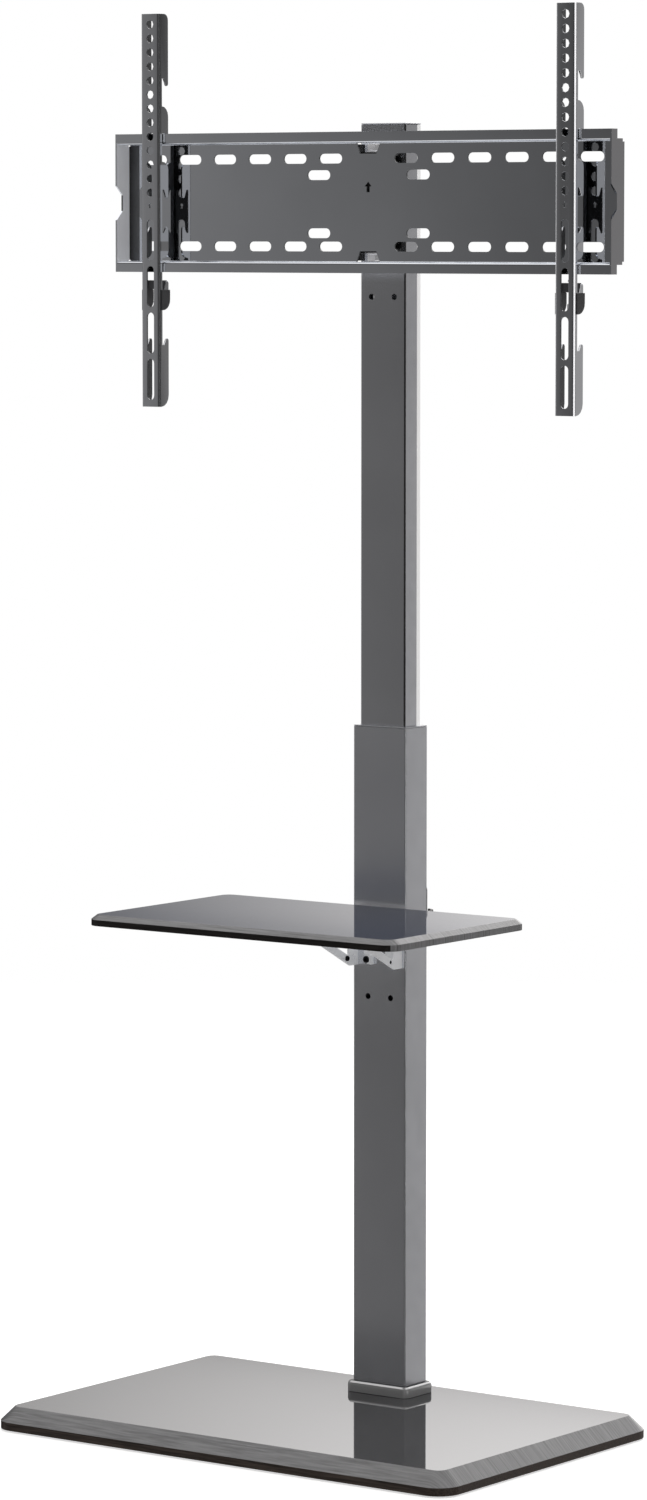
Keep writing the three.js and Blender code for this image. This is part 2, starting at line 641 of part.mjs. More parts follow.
function shelfPieces() {
  const front = -outerTubeDepth / 2 - seatGap;
  const centreY = -outerTubeDepth / 2 - shelfBehindGap - shelfDepth / 2;
  const screwPlaces = sides.flatMap(([name, side]) =>
    shelfScrewYs.map((y, row) => [name, row, side * shelfScrewX, y]));
  const board = cut(
    bevelledBoard(shelfWidth, shelfDepth, shelfThickness, shelfCornerRadius, shelfBevelRun, shelfEdgeHeight)
      .translate(0, centreY, shelfUnderside),
    screwPlaces.map(([, , x, y]) => rodUp(shelfScrewDiameter + 2 * seatGap, shelfUnderside - overrun,
      overrun + shelfScrewDepth + seatGap).translate(x, y, 0)));
  const shelfScrewSeat = shelfUnderside - seatGap - bracketSheet - seatGap;
  const shelfScrew = domeScrew(shelfScrewHeadDiameter, shelfScrewHeadHeight, shelfScrewDiameter,
    shelfScrewDepth + bracketSheet + 2 * seatGap).rotateX(Math.PI);
  const poleScrew = domeScrew(poleScrewHeadDiameter, poleScrewHeadHeight, poleScrewDiameter,
    bracketSheet + 2 * seatGap + tubeWall).rotateX(Math.PI / 2);
  const poleScrewSeat = front - bracketSheet - seatGap;
  const earNames = ['lower', 'upper'];
  const sideScrew = (side) => domeScrew(sideScrewHeadDiameter, sideScrewHeadHeight, sideScrewDiameter,
    bracketSheet + seatGap).rotateY(-side * Math.PI / 2);
  const sideScrewSeat = bracketSpan / 2 - bracketSheet / 2 - seatGap;
  const lipStart = -tubeHolePitchX / 2 + earRadius - bracketSheet;
  const lipEnd = lipStart + bracketSheet + earLipSet;
  const lipHalf = earLipHeight / 2;
  const lip = join([
    boxBetween(lipStart, lipEnd, front - bracketSheet, front,
      lowerEarLevel - lipHalf, lowerEarLevel + lipHalf),
    boxBetween(lipEnd - bracketSheet, lipEnd, front - bracketSheet - earLipReach, front,
      lowerEarLevel - lipHalf, lowerEarLevel + lipHalf),
  ]);
  const bodies = { left: join([leftBracket(), lip]), right: mirroredX(leftBracket()) };

  return [
    mesh('shelf_board', board, shelfVeneer),
    ...sides.flatMap(([name, side]) => [
      mesh(`shelf_bracket_${name}`, bodies[name], brightSteel),
      mesh(`bracket_side_screw_${name}`, sideScrew(side), blackScrew,
        side * sideScrewSeat, sideScrewY, sideScrewLevel),
      ...earNames.map((ear, row) => mesh(`bracket_screw_${name}_${ear}`, poleScrew, blackScrew,
        side * tubeHolePitchX / 2, poleScrewSeat, lowerEarLevel + row * earRowPitch)),
    ]),
    ...screwPlaces.map(([name, row, x, y]) =>
      mesh(`shelf_screw_${name}_${row + 1}`, shelfScrew, blackScrew, x, y, shelfScrewSeat)),
  ];
}

// Mast: the inner tube with its bush, its cap and the bracket that holds the swivel
function mastPieces() {
  const tubeFront = -innerTubeDepth / 2;
  const frontHole = (diameter, x, z) =>
    rodForward(diameter, tubeFront + tubeWall + overrun, tubeWall + 2 * overrun).translate(x, 0, z);
  const spareRow = mountRows[1] - mountRowPitch;
  const holeRows = [
    ...mountRows.map((row) => [mountScrewDiameter + 2 * seatGap, row]),
    [tubeHoleDiameter, spareRow]];
  const innerTube = cut(
    tube(innerTubeWidth, innerTubeDepth, tubeWall, innerTubeRadius, innerTubeBottom, innerTubeLength),
    holeRows.flatMap(([diameter, row]) => [-1, 1].map((side) =>
      frontHole(diameter, side * tubeHolePitchX / 2, plateCentreHeight + row))));

  const plugShape = roundedRect(innerBoreWidth - 2 * seatGap, innerBoreDepth - 2 * seatGap, innerTubeRadius);
  plugShape.holes.push(
    roundedRect(innerBoreWidth - 2 * plugWall, innerBoreDepth - 2 * plugWall, innerTubeRadius / 2));
  const bushShape = roundedRect(outerBoreWidth - 2 * runGap, outerBoreDepth - 2 * runGap, outerTubeRadius);
  const bottomBush = join([
    prismUp(bushShape, -bottomBushHeight - seatGap, bottomBushHeight),
    prismUp(plugShape, -bottomBushHeight / 2 - seatGap, bottomBushHeight / 2 + seatGap + bottomBushPlug),
  ]);
  const capRounding = capHeight / 3;
  const capTop = new THREE.ExtrudeGeometry(roundedRect(innerTubeWidth, innerTubeDepth, innerTubeRadius), {
    depth: capHeight - 2 * capRounding,
    bevelEnabled: true,
    bevelThickness: capRounding,
    bevelSize: capRounding,
    bevelOffset: -capRounding,
    bevelSegments: 2,
    curveSegments: arcSteps,
  }).translate(0, 0, seatGap + capRounding);
  const tubeCap = join([capTop, prismUp(plugShape, -capPlug, capPlug + seatGap + capHeight / 2)]);
  return [
    mesh('inner_tube', innerTube, columnSteel),
    mesh('guide_bush_bottom', bottomBush, blackPlastic, 0, 0, innerTubeBottom),
    mesh('tube_cap', tubeCap, greyPlastic, 0, 0, innerTubeTop),
  ];
}

// Heights of the pieces stacked on the swivel axis, measured from the plate's centre
const swivelEarTop = earLevel + swivelSheet;
const steelWasherBottom = swivelEarTop + seatGap;
const pivotHeadBottom = steelWasherBottom + steelWasherThickness + seatGap;
const glideWasherBottom = earLevel - seatGap - glideWasherThickness;
const fixedEarTop = glideWasherBottom - seatGap;
const fixedEarBottom = fixedEarTop - fixedSheet;
const pivotNutBottom = fixedEarBottom - seatGap - pivotNutThickness;

// An ear with a round end on the swivel axis, drawn in X and Y
function earShape(radius, rootHalfWidth, rootY) {
  const shape = new THREE.Shape();
  const away = Math.sign(rootY);
  shape.moveTo(-rootHalfWidth, rootY);
  shape.lineTo(-radius, 0);
  shape.absarc(0, 0, radius, Math.PI, 0, away < 0);
  shape.lineTo(rootHalfWidth, rootY);
  return shape;
}

const pivotHole = () => rodUp(pivotBoltDiameter + 2 * seatGap, -plateInnerHeight, 2 * plateInnerHeight);

function fixedBracketPieces() {
  const plateBack = tubeFrontFromPivot - seatGap;
  const plateFront = plateBack - fixedSheet;
  const plateShape = roundedRect(fixedPlateWidth, 2 * fixedEarTop, fixedSheet);
  const plate = prismForward(plateShape, plateBack, fixedSheet);
  const ear = earShape(fixedEarRadius, fixedEarRadius, plateBack - fixedSheet / 2);
  const screwPlaces = mountRows.flatMap((row) => [-1, 1].map((side) => [side * tubeHolePitchX / 2, row]));
  const body = cut(
    join([plate, prismUp(ear, fixedEarBottom, fixedSheet), prismUp(ear, -fixedEarTop, fixedSheet)]),
    [pivotHole(), ...screwPlaces.map(([x, z]) =>
      rodForward(mountScrewDiameter + 2 * seatGap, plateBack + overrun, fixedSheet + 2 * overrun)
        .translate(x, 0, z))]);
  const screw = domeScrew(mountScrewHeadDiameter, mountScrewHeadHeight, mountScrewDiameter,
    fixedSheet + 2 * seatGap + tubeWall).rotateX(Math.PI / 2);
  return [
    mesh('column_pivot_bracket', body, mountSteel),
    ...screwPlaces.map(([x, z], i) =>
      mesh(`mount_screw_${i + 1}`, screw, zincSteel, x, plateFront - seatGap, z)),
  ];
}

function pivotPieces(where) {
  const boltTip = pivotNutBottom - seatGap;
  const bolt = join([
    prismUp(hexagonShape(pivotHeadAcrossFlats), pivotHeadBottom, pivotHeadHeight),
    rodUp(pivotBoltDiameter, boltTip, pivotHeadBottom + pivotHeadHeight / 2 - boltTip),
  ]);
  const ringOf = (diameter, z0, thickness) => {
    const shape = discShape(diameter / 2);
    shape.holes.push(discShape(pivotBoltDiameter / 2 + seatGap));
    return prismUp(shape, z0, thickness, roundSteps / 2);
  };
  const nutShape = hexagonShape(pivotNutAcrossFlats);
  nutShape.holes.push(discShape(pivotBoltDiameter / 2 + seatGap));
  return [
    mesh(`pivot_bolt_${where}`, bolt, brightSteel),
    mesh(`pivot_washer_${where}`,
      ringOf(steelWasherDiameter, steelWasherBottom, steelWasherThickness), brightSteel),
    mesh(`pivot_glide_${where}`, ringOf(glideWasherDiameter, glideWasherBottom, glideWasherThickness), nylon),
    mesh(`pivot_nut_${where}`,
      prismUp(nutShape, pivotNutBottom, pivotNutThickness, roundSteps / 2), brightSteel),
  ];
}

function swivelBracket() {
  const plateFront = -pivotToWeb + seatGap;
  const plateBack = plateFront + swivelSheet;
  const plateShape = roundedRect(swivelPlateWidth, swivelPlateHeight, 2 * swivelSheet);
  const plate = prismForward(plateShape, plateBack, swivelSheet);
  const tongue = boxBetween(-swivelTongueWidth / 2, swivelTongueWidth / 2, plateFront, plateBack,
    -swivelEarTop, swivelEarTop);
  const ear = earShape(swivelEarRadius, swivelTongueWidth / 2, plateBack - swivelSheet / 2);
  const cheeks = [-1, 1].flatMap((end) => [-1, 1].map((side) => {
    const outer = side * swivelTongueWidth / 2;
    const inner = outer - side * swivelSheet;
    const earFace = end * swivelEarTop;
    const foot = end * (swivelEarTop - swivelCheekHeight);
    const crest = earFace + end * swivelCheekRise;
    const outline = polygon([
      [plateBack - swivelSheet / 2, crest], [0, crest], [0, earFace - end * swivelSheet],
      [plateBack - swivelSheet / 2, foot]]);
    return prismRight(outline, Math.min(inner, outer), swivelSheet);
  }));
  const body = cut(
    join([
      plate, tongue, prismUp(ear, earLevel, swivelSheet), prismUp(ear, -swivelEarTop, swivelSheet),
      ...cheeks]),
    [pivotHole()]);
  return mesh('swivel_bracket', body, mountSteel);
}

// Section of the wall plate's channel in depth and height, with its bends
function channelSection() {
  const outer = plateBendRadius;
  const inner = plateBendRadius - plateSheet;
  const flangeOuter = plateInnerHalf + plateSheet;
  const webBackY = webFrontY + plateSheet;
  const lipBackY = lipFrontY + plateSheet;
  const quarter = Math.PI / 2;
  const shape = new THREE.Shape();
  shape.moveTo(webFrontY, inner - plateInnerHalf);
  shape.lineTo(webFrontY, plateInnerHalf - inner);
  shape.absarc(webFrontY - inner, plateInnerHalf - inner, inner, 0, quarter);
  shape.lineTo(lipFrontY + outer, plateInnerHalf);
  shape.absarc(lipFrontY + outer, plateInnerHalf + outer, outer, -quarter, -2 * quarter, true);
  shape.lineTo(lipFrontY, plateHalfHeight);
  shape.lineTo(lipBackY, plateHalfHeight);
  shape.lineTo(lipBackY, flangeOuter + inner);
  shape.absarc(lipBackY + inner, flangeOuter + inner, inner, 2 * quarter, 3 * quarter);
  shape.lineTo(webBackY - outer, flangeOuter);
  shape.absarc(webBackY - outer, flangeOuter - outer, outer, quarter, 0, true);
  shape.lineTo(webBackY, outer - flangeOuter);
  shape.absarc(webBackY - outer, outer - flangeOuter, outer, 0, -quarter, true);
  shape.lineTo(lipBackY + inner, -flangeOuter);
  shape.absarc(lipBackY + inner, -flangeOuter - inner, inner, quarter, 2 * quarter);
  shape.lineTo(lipBackY, -plateHalfHeight);
  shape.lineTo(lipFrontY, -plateHalfHeight);
  shape.lineTo(lipFrontY, -plateInnerHalf - outer);
  shape.absarc(lipFrontY + outer, -plateInnerHalf - outer, outer, 2 * quarter, quarter, true);
  shape.lineTo(webFrontY - inner, -plateInnerHalf);
  shape.absarc(webFrontY - inner, inner - plateInnerHalf, inner, -quarter, 0);
  return shape;
}

// Wall plate: a pressed channel with slotted web, level flanges, upright lips and closed ends
function wallPlate() {
  const halfWidth = plateWidth / 2;
  const flangeOuter = plateInnerHalf + plateSheet;
  const webBackY = webFrontY + plateSheet;
  const channel = prismRight(channelSection(), (plateSheet - plateWidth) / 2, plateWidth - plateSheet);
  const earBackY = lipFrontY + endEarDepth;
  const cutY = lipFrontY + endCutDepth;
  const endShape = polygon([
    [webBackY, -flangeOuter], [webBackY, flangeOuter], [earBackY, flangeOuter], [earBackY, plateHalfHeight],
    [lipFrontY, plateHalfHeight], [lipFrontY, endCutOuter / 2], [cutY, endCutInner / 2],
    [cutY, -endCutInner / 2], [lipFrontY, -endCutOuter / 2], [lipFrontY, -plateHalfHeight],
    [earBackY, -plateHalfHeight], [earBackY, -flangeOuter],
  ]);
  const ends = [-halfWidth, halfWidth - plateSheet].map((x) => prismRight(endShape, x, plateSheet));

  const slotShape = roundedRect(webSlotLength, webSlotHeight, webSlotHeight / 2);
  const slotAt = (x, z) =>
    prismForward(slotShape, webBackY + overrun, plateSheet + 2 * overrun, slotSteps).translate(x, 0, z);
  const steps = Array.from({ length: webSlotCount }, (_, i) => webSlotFirst + i * webSlotPitch);
  const longRows = [-webLongRowRise, webLongRowRise].flatMap((z) =>
    steps.flatMap((x) => [slotAt(-x, z), slotAt(x, z)]));
  const shortRows = [webUpperShortRise, webLowerShortRise].flatMap((z) =>
    [slotAt(-webShortRowOffset, z), slotAt(webShortRowOffset, z)]);
  const notch = (side) => {
    const mouth = side * plateInnerHalf;
    const bottom = side * (plateInnerHalf - notchDepth);
    const outline = polygon([
      [-notchWide / 2, mouth], [-notchNarrow / 2, bottom], [notchNarrow / 2, bottom],
      [notchWide / 2, mouth]]);
    return prismForward(outline, webBackY + overrun, plateSheet + 2 * overrun);
  };
  const arrow = prismForward(arrowShape(plateArrowHeight), webBackY + overrun, plateSheet + 2 * overrun)
    .translate(0, 0, plateArrowHeight + webSlotHeight / 2);
  const reliefs = [-1, 1].flatMap((sx) => [-1, 1].map((sz) =>
    box(2 * cornerRelief, 2 * cornerRelief, 2 * cornerRelief)
      .translate(sx * halfWidth, webBackY, sz * flangeOuter)));
  return mesh('wall_plate', cut(join([channel, ...ends]),
    [...longRows, ...shortRows, notch(1), notch(-1), arrow, ...reliefs]), mountSteel);
}

// Outline of an arm's side in depth and height. Depth runs back from the arm's face, height down from its top.
function armSideShape() {
  const seatLevel = armRise - seatGap;
  const tongueFront = armStandOff + plateSheet + lipTongueGap;
  const shoulder = armDepth - armRecess;
  const radius = hookTipRadius;
  const shape = new THREE.Shape();
  const hookDown = (slitTop, tip, slitBack) => {
    shape.lineTo(armDepth, -tip + radius);
    shape.absarc(armDepth - radius, -tip + radius, radius, 0, -Math.PI, true);
    shape.lineTo(slitBack, -slitTop);
    shape.lineTo(armRecess, -slitTop);
  };
  const hookUp = (tip, slitEnd) => {
    shape.lineTo(armRecess, -slitEnd);
    shape.lineTo(armRecess + slitWidth, -slitEnd);
    shape.lineTo(armDepth - 2 * radius, -tip - radius);
    shape.absarc(armDepth - radius, -tip - radius, radius, Math.PI, 0, true);
  };
  const roundOut = (start, height) => {
    shape.lineTo(armRecess, -start);
    shape.absellipse(armRecess, -start - height, shoulder, height, Math.PI / 2, 0, true);
  };
  const roundIn = (end, height) => {
    shape.lineTo(armDepth, -end + height);
    shape.absellipse(armRecess, -end + height, shoulder, height, 0, -Math.PI / 2, true);
  };
  shape.moveTo(0, 0);
  shape.lineTo(armDepth - armTopRadius, 0);
  shape.absarc(armDepth - armTopRadius, -armTopRadius, armTopRadius, Math.PI / 2, 0, true);
  hookDown(outerSlitTop, outerTip, armRecess + slitWidth);
  roundOut(outerShoulder, shoulder);
  hookDown(seatLevel, seatLevel + lipTongueReach, tongueFront);
  roundOut(innerShoulder, innerShoulderHeight);
  hookDown(innerSlitTop, innerTip, armRecess + slitWidth);
  hookUp(lowerTip, lowerSlitEnd);
  roundIn(lowerShoulder + innerShoulderHeight, innerShoulderHeight);
  hookUp(lockTip, lockSlitEnd);
  roundIn(lobeEnd, shoulder);
  hookUp(bottomTip, bottomSlitEnd);
  shape.lineTo(armDepth, -armLength + armBottomRadius);
  shape.absarc(armDepth - armBottomRadius, -armLength + armBottomRadius,
    armBottomRadius, 0, -Math.PI / 2, true);
  shape.lineTo(0, -armLength);
  return shape;
}

function armBody() {
  const half = armWidth / 2;
  const inner = half - armSheet;
  const section = new THREE.Shape();
  section.moveTo(-half, armDepth);
  section.lineTo(-half, armBendRadius);
  section.absarc(-half + armBendRadius, armBendRadius, armBendRadius, Math.PI, 1.5 * Math.PI);
  section.lineTo(half - armBendRadius, 0);
  section.absarc(half - armBendRadius, armBendRadius, armBendRadius, -Math.PI / 2, 0);
  section.lineTo(half, armDepth);
  section.lineTo(inner, armDepth);
  section.lineTo(inner, armSheet);
  section.lineTo(-inner, armSheet);
  section.lineTo(-inner, armDepth);
  const channel = prismUp(section, -armLength, armLength);
  const sideCut = prismRight(armSideShape(), -half - overrun, armWidth + 2 * overrun, slotSteps);

  const cutDepth = armSheet + 2 * overrun;
  const holes = Array.from({ length: armHoleCount }, (_, i) =>
    prismForward(discShape(armHoleDiameter / 2), armSheet + overrun, cutDepth, 2 * slotSteps)
      .translate(0, 0, -armFirstHole - i * armHolePitch));
  const slotShape = roundedRect(armHoleDiameter, armSlotLength, armHoleDiameter / 2);
  const slots = Array.from({ length: armSlotCount }, (_, i) =>
    prismForward(slotShape, armSheet + overrun, cutDepth, slotSteps)
      .translate(0, 0, -armFirstSlot - armSlotLength / 2 - i * armSlotPitch));
  const arrow = prismForward(arrowShape(armArrowHeight), armSheet + overrun, cutDepth)
    .translate(0, 0, -armArrowDrop);
  return cut(common(channel, sideCut), [...holes, ...slots, arrow]);
}

// Lock saddle: a moulded block inside the arm, with cheeks that wrap the round lobes of the arm's sides
const screwDepth = armStandOff + plateSheet + runGap + screwTipDiameter / 2; // behind the arm's face
function lockSaddle() {
  const inner = armWidth / 2 - armSheet - seatGap;
  const outer = armWidth / 2 + seatGap;
  const blockTop = -lockTip + saddleProud;
  const blockBottom = blockTop - saddleBlockHeight;
  const block = boxBetween(-inner, inner, armSheet + seatGap, armSheet + saddleBlockDepth,
    blockBottom, blockTop);
  const back = armDepth + saddleProud;
  const lobeTop = -lockSlitEnd - seatGap;
  const lobeBottom = -lobeEnd - saddleProud;
  const lobe = new THREE.Shape();
  const lobeRadius = back - armRecess;
  lobe.moveTo(saddleStart, lobeTop);
  lobe.lineTo(back, lobeTop);
  lobe.lineTo(back, lobeBottom + lobeRadius);
  lobe.absarc(armRecess, lobeBottom + lobeRadius, lobeRadius, 0, -Math.PI / 2, true);
  lobe.lineTo(saddleStart, lobeBottom);
  const clipFor = (side) => {
    const [from, to] = side > 0
      ? [inner - saddleCheek, outer + saddleCheek]
      : [-outer - saddleCheek, -inner + saddleCheek];
    const [slotFrom, slotTo] = side > 0 ? [inner, outer] : [-outer, -inner];
    const whole = prismRight(lobe, from, to - from);
    const slot = boxBetween(slotFrom, slotTo, -overrun, armDepth + seatGap,
      lobeBottom - overrun, lobeTop + overrun);
    return cut(whole, [slot]);
  };
  const linkTop = blockBottom + saddleCheek;
  const links = [[-inner, -inner + saddleCheek], [inner - saddleCheek, inner]].map(([from, to]) =>
    boxBetween(from, to, saddleStart, armSheet + saddleBlockDepth, lobeTop - saddleCheek, linkTop));
  const screwHoleDiameter = screwShankDiameter + 2 * seatGap;
  const screwHole = rodUp(screwHoleDiameter, blockBottom - overrun, saddleBlockHeight + 2 * overrun)
    .translate(0, screwDepth, 0);
  return cut(join([block, ...links, clipFor(-1), clipFor(1)]), [screwHole]);
}

function safetyScrew() {
  const tipTop = -armRise - 2 * plateHalfHeight - screwTipBelowLip;
  const headTop = -lockTip + saddleProud - saddleBlockHeight - screwTravel - runGap;
  const tip = screwTipDiameter / 2;
  const shank = screwShankDiameter / 2;
  const head = screwHeadDiameter / 2;
  const edge = screwHeadEdgeShare * head;
  return turned([
    [0, headTop - screwHeadHeight], [head - edge, headTop - screwHeadHeight],
    [head, headTop - screwHeadHeight + edge], [head, headTop - edge], [head - edge, headTop],
    [shank, headTop], [shank, tipTop - screwTipHeight], [tip, tipTop - screwTipHeight],
    [tip, tipTop - screwTipHeight / 2], [tip / 2, tipTop], [0, tipTop]]).translate(0, screwDepth, 0);
}

function armPieces() {
  const arm = armBody();
  const saddle = lockSaddle();
  const screw = safetyScrew();
  return sides.map(([name, side]) => group(side * armOffset, armFaceY, armTopLevel,
    mesh(`arm_${name}`, arm, mountSteel),
    mesh(`lock_saddle_${name}`, saddle, blackPlastic),
    mesh(`safety_screw_${name}`, screw, brightSteel)));
}

// Whole stand
const lowerPivot = group(0, 0, 0, ...pivotPieces('bottom'));
lowerPivot.rotation.y = Math.PI;
const head = group(0, -pivotAhead, plateCentreHeight,
  ...fixedBracketPieces(), ...pivotPieces('top'), lowerPivot, swivelBracket(), wallPlate(), ...armPieces());
const column = group(0, columnY, 0,
  ...columnPieces(), ...clipPieces(), ...shelfPieces(), ...mastPieces(), head);
const stand = group(0, 0, 0, ...basePieces(), column);

export default stand;
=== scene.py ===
"""The finish of a floor stand for a television: boards, column, shelf, swivelling plate and hook-on arms."""

import json
import math

import bmesh
import bpy
from bpy.props import FloatProperty, FloatVectorProperty, IntProperty, PointerProperty
from bpy.types import Operator, Panel, PropertyGroup
from mathutils import Matrix, Vector


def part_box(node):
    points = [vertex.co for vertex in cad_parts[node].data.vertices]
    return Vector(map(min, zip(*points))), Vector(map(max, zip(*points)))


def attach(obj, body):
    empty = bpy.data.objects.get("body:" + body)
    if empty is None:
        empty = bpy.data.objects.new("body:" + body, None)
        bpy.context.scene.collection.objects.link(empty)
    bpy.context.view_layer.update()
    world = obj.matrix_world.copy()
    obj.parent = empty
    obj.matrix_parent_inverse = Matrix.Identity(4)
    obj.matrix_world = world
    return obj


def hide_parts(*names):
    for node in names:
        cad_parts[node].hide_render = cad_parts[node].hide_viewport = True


bl_info = {
    "name": "Television floor stand",
    "version": (1, 0, 0),
    "blender": (4, 5, 0),
    "location": "View3D > Sidebar > Stand",
    "description": "Dresses the stand's boards, column, shelf, plate and arms, and sets its stage",
    "category": "Object",
}

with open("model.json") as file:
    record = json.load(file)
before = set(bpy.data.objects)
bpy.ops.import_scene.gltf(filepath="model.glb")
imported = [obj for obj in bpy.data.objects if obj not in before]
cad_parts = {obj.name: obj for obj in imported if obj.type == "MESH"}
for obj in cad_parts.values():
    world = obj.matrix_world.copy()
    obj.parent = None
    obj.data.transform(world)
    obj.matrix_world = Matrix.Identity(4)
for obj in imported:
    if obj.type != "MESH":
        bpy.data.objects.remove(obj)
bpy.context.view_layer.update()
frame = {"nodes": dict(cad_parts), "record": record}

MM = 0.001
SIDES = ("left", "right")
ENDS = ("top", "bottom")
FULL_TURN = 2 * math.pi
LEFT, RIGHT = (-1, 0, 0), (1, 0, 0)
FORWARD, BACK = (0, -1, 0), (0, 1, 0)
DOWN, UP = (0, 0, -1), (0, 0, 1)

# Points closer than MERGE are joined and faces that turn less than FLAT are made whole. Edges sharper than
# SHARP are rounded. Shading runs on over edges gentler than SMOOTH, or than RING_SMOOTH on turned pieces.
MERGE = 0.002 * MM
FLAT = math.radians(0.8)
SHARP = math.radians(28.0)
SMOOTH = math.radians(40.0)
RING_SMOOTH = math.radians(35.0)

# A face looks along an axis where its normal has more than FACING of it, and stands edge-on to the axis where
# its normal has less than EDGE_ON. In between lie the facets of a rounded corner.
FACING = 0.9
EDGE_ON = 0.3

# The walls of a sheet's holes lie within this many thicknesses of its face
HOLE_REACH = 1.2

# Height of the head and width of the shank of each kind of screw, in millimetres
SCREWS = {
    "base_bolt": (3.6, 8),
    "height_lock_bolt": (4.5, 8),
    "cable_clip_screw": (2.2, 4),
    "bracket_screw": (3, 5),
    "bracket_side_screw": (2.6, 4),
    "shelf_screw": (2.4, 4),
    "mount_screw": (3.3, 6),
}

# Outline of a screw's domed head, as shares of its radius and its height, and of its socket's rim and floor
DOME_SHARES = ((1.0, 0.0), (1.0, 0.30), (0.97, 0.52), (0.86, 0.76), (0.66, 0.93), (0.40, 1.0))
SOCKET_RIM_SHARE = 0.995
SOCKET_FLOOR_SHARE = 0.35
SOCKET_TAPER_SHARE = 0.98
SHANK_TIP_SHARE = 0.12

# Outline of a rubber foot from its middle above to its middle below, as shares of its radius and its height
FOOT_SHARES = ((0.02, 1.0), (1.0, 1.0), (1.0, 0.4), (0.96, 0.1), (0.9, 0.0), (0.62, 0.0), (0.6, 0.25),
               (0.5, 0.25), (0.48, 0.0), (0.02, 0.0))

# Steps round a turned piece
SCREW_STEPS = 36
FOOT_STEPS = 40
STEPS_PER_KNURL = 4
FLOOR_STEPS = 96

# The camera's film width in millimetres, and how far it sees in metres
FILM_WIDTH = 36.0
SIGHT = 100.0

# Sockets of a mix node that mixes colours
MIX_FACTOR, MIX_FIRST, MIX_SECOND, MIX_RESULT = 0, 6, 7, 2


# Property helpers

def length(name, description, millimetres):
    return FloatProperty(name=name, description=description, default=millimetres * MM, min=0.0, unit="LENGTH",
                         subtype="DISTANCE", precision=5)


def colour(name, description, default):
    return FloatVectorProperty(name=name, description=description, default=default, subtype="COLOR", size=3,
                               min=0.0, max=1.0)


def level(name, description, default):
    return FloatProperty(name=name, description=description, default=default, min=0.0)


def share(name, description, default):
    return FloatProperty(name=name, description=description, default=default, min=0.0, max=1.0,
                         subtype="FACTOR")


def gloss_change(name, default):
    return FloatVectorProperty(name=name, default=default, size=3, min=0.0,
                               description="Specular level at the front and the back, and the change's power")


# Settings that a user would change

class BoardSettings(PropertyGroup):
    edge_rounding: length("Edge rounding", "Rounding of the boards' crisp edges", 0.8)
    base_colour: colour("Base laminate", "Colour of the base board's glossy top", (0.066, 0.067, 0.070))
    shelf_colour: colour("Shelf laminate", "Colour of the shelf's glossy top", (0.046, 0.056, 0.088))
    bevel_colour: colour("Bevel laminate", "Colour of the laminate on the boards' bevels",
                         (0.215, 0.217, 0.222))
    base_band: colour("Base edge band", "Dark wood colour of the base board's upright edges",
                      (0.056, 0.044, 0.037))
    shelf_band: colour("Shelf edge band", "Dark wood colour of the shelf's upright edges",
                       (0.014, 0.012, 0.011))
    underside_colour: colour("Underside", "Colour of the boards' plain undersides", (0.05, 0.048, 0.046))
    bevel_roughness: share("Bevel roughness", "Roughness of the laminate on the bevels", 0.16)
    gloss: share("Gloss roughness", "Roughness of the laminate, low for a mirror-like top", 0.03)
    # Painted reflection: the boards' specular level changes from front to back, standing in for uneven light
    base_gloss: gloss_change("Base gloss", (1.0, 0.15, 1.0))
    shelf_gloss: gloss_change("Shelf gloss", (0.065, 0.75, 2.0))
    grain_size: length("Grain size", "Width of one streak of the fine grain", 1.6)
    edge_reach: length("Edge reach", "How far in from its outline a board has upright edges and bevels", 30)


class ColumnSettings(PropertyGroup):
    edge_rounding: length("Cut edge rounding", "Rounding of the tubes' cut edges", 0.3)
    nut_rounding: length("Nut rounding", "Rounding of the height locks' nuts", 0.4)
    clip_rounding: length("Clip rounding", "Rounding of the cable clip", 0.5)
    paint_colour: colour("Column paint", "Colour of the tubes' metallic paint", (0.74, 0.755, 0.79))
    roughness: share("Paint roughness", "Roughness of the tubes' paint", 0.21)
    # Painted shade: near-black paint on the facets of the inner tube's front right corner stands for the dark
    # line along it
    tube_corner_shade: colour("Corner", "Colour of the inner tube's front right corner", (0.02, 0.02, 0.021))
    # Painted highlight: a pale, glowing strip down the back of the inner tube's right side stands for a
    # highlight there
    highlight_strip_colour: colour("Painted highlight strip", "Colour of the inner tube's bright strip", (0.80, 0.80, 0.80))
    highlight_strip_glow: level("Painted highlight strip glow", "Light of the inner tube's bright strip", 0.55)
    highlight_strip_width: length("Painted highlight strip width", "Width of the bright strip down the inner tube's right side", 8)
    outer_metallic: share("Outer tube metal", "How metallic the outer tube's paint looks", 0.75)
    collar_colour: colour("Collar", "Colour of the glossy collar", (0.60, 0.605, 0.61))
    collar_roughness: share("Collar roughness", "Roughness of the collar's sides", 0.10)
    # Painted shade: the collar's top faces are painted near black
    collar_top_shade_colour: colour("Collar top shade", "Colour of the collar's dark top", (0.012, 0.012, 0.013))
    plastic_colour: colour("Black plastic", "Colour of the moulded plastic parts", (0.018, 0.018, 0.02))
    saddle_colour: colour("Lock saddles", "Colour of the arms' plastic blocks", (0.075, 0.076, 0.080))
    rubber_colour: colour("Rubber", "Colour of the feet", (0.014, 0.014, 0.014))
    screw_colour: colour("Black screws", "Colour of the blackened screws", (0.02, 0.02, 0.022))
    zinc_colour: colour("Zinc plating", "Colour of the zinc plated bolts and plates", (0.50, 0.52, 0.55))
    nylon_colour: colour("Nylon", "Colour of the pads and glide washers", (0.70, 0.69, 0.64))


class ShelfSettings(PropertyGroup):
    edge_rounding: length("Sheet edge rounding", "Rounding of the bracket's sheet edges", 0.35)
    bracket_colour: colour("Bracket metal", "Colour of the bright brackets", (0.86, 0.87, 0.89))
    bracket_glow: level("Bracket glow", "Faint light of the bright brackets under the dark board", 0.22)
    socket_share: share("Socket", "Width of a screw's socket as a share of its head", 0.42)


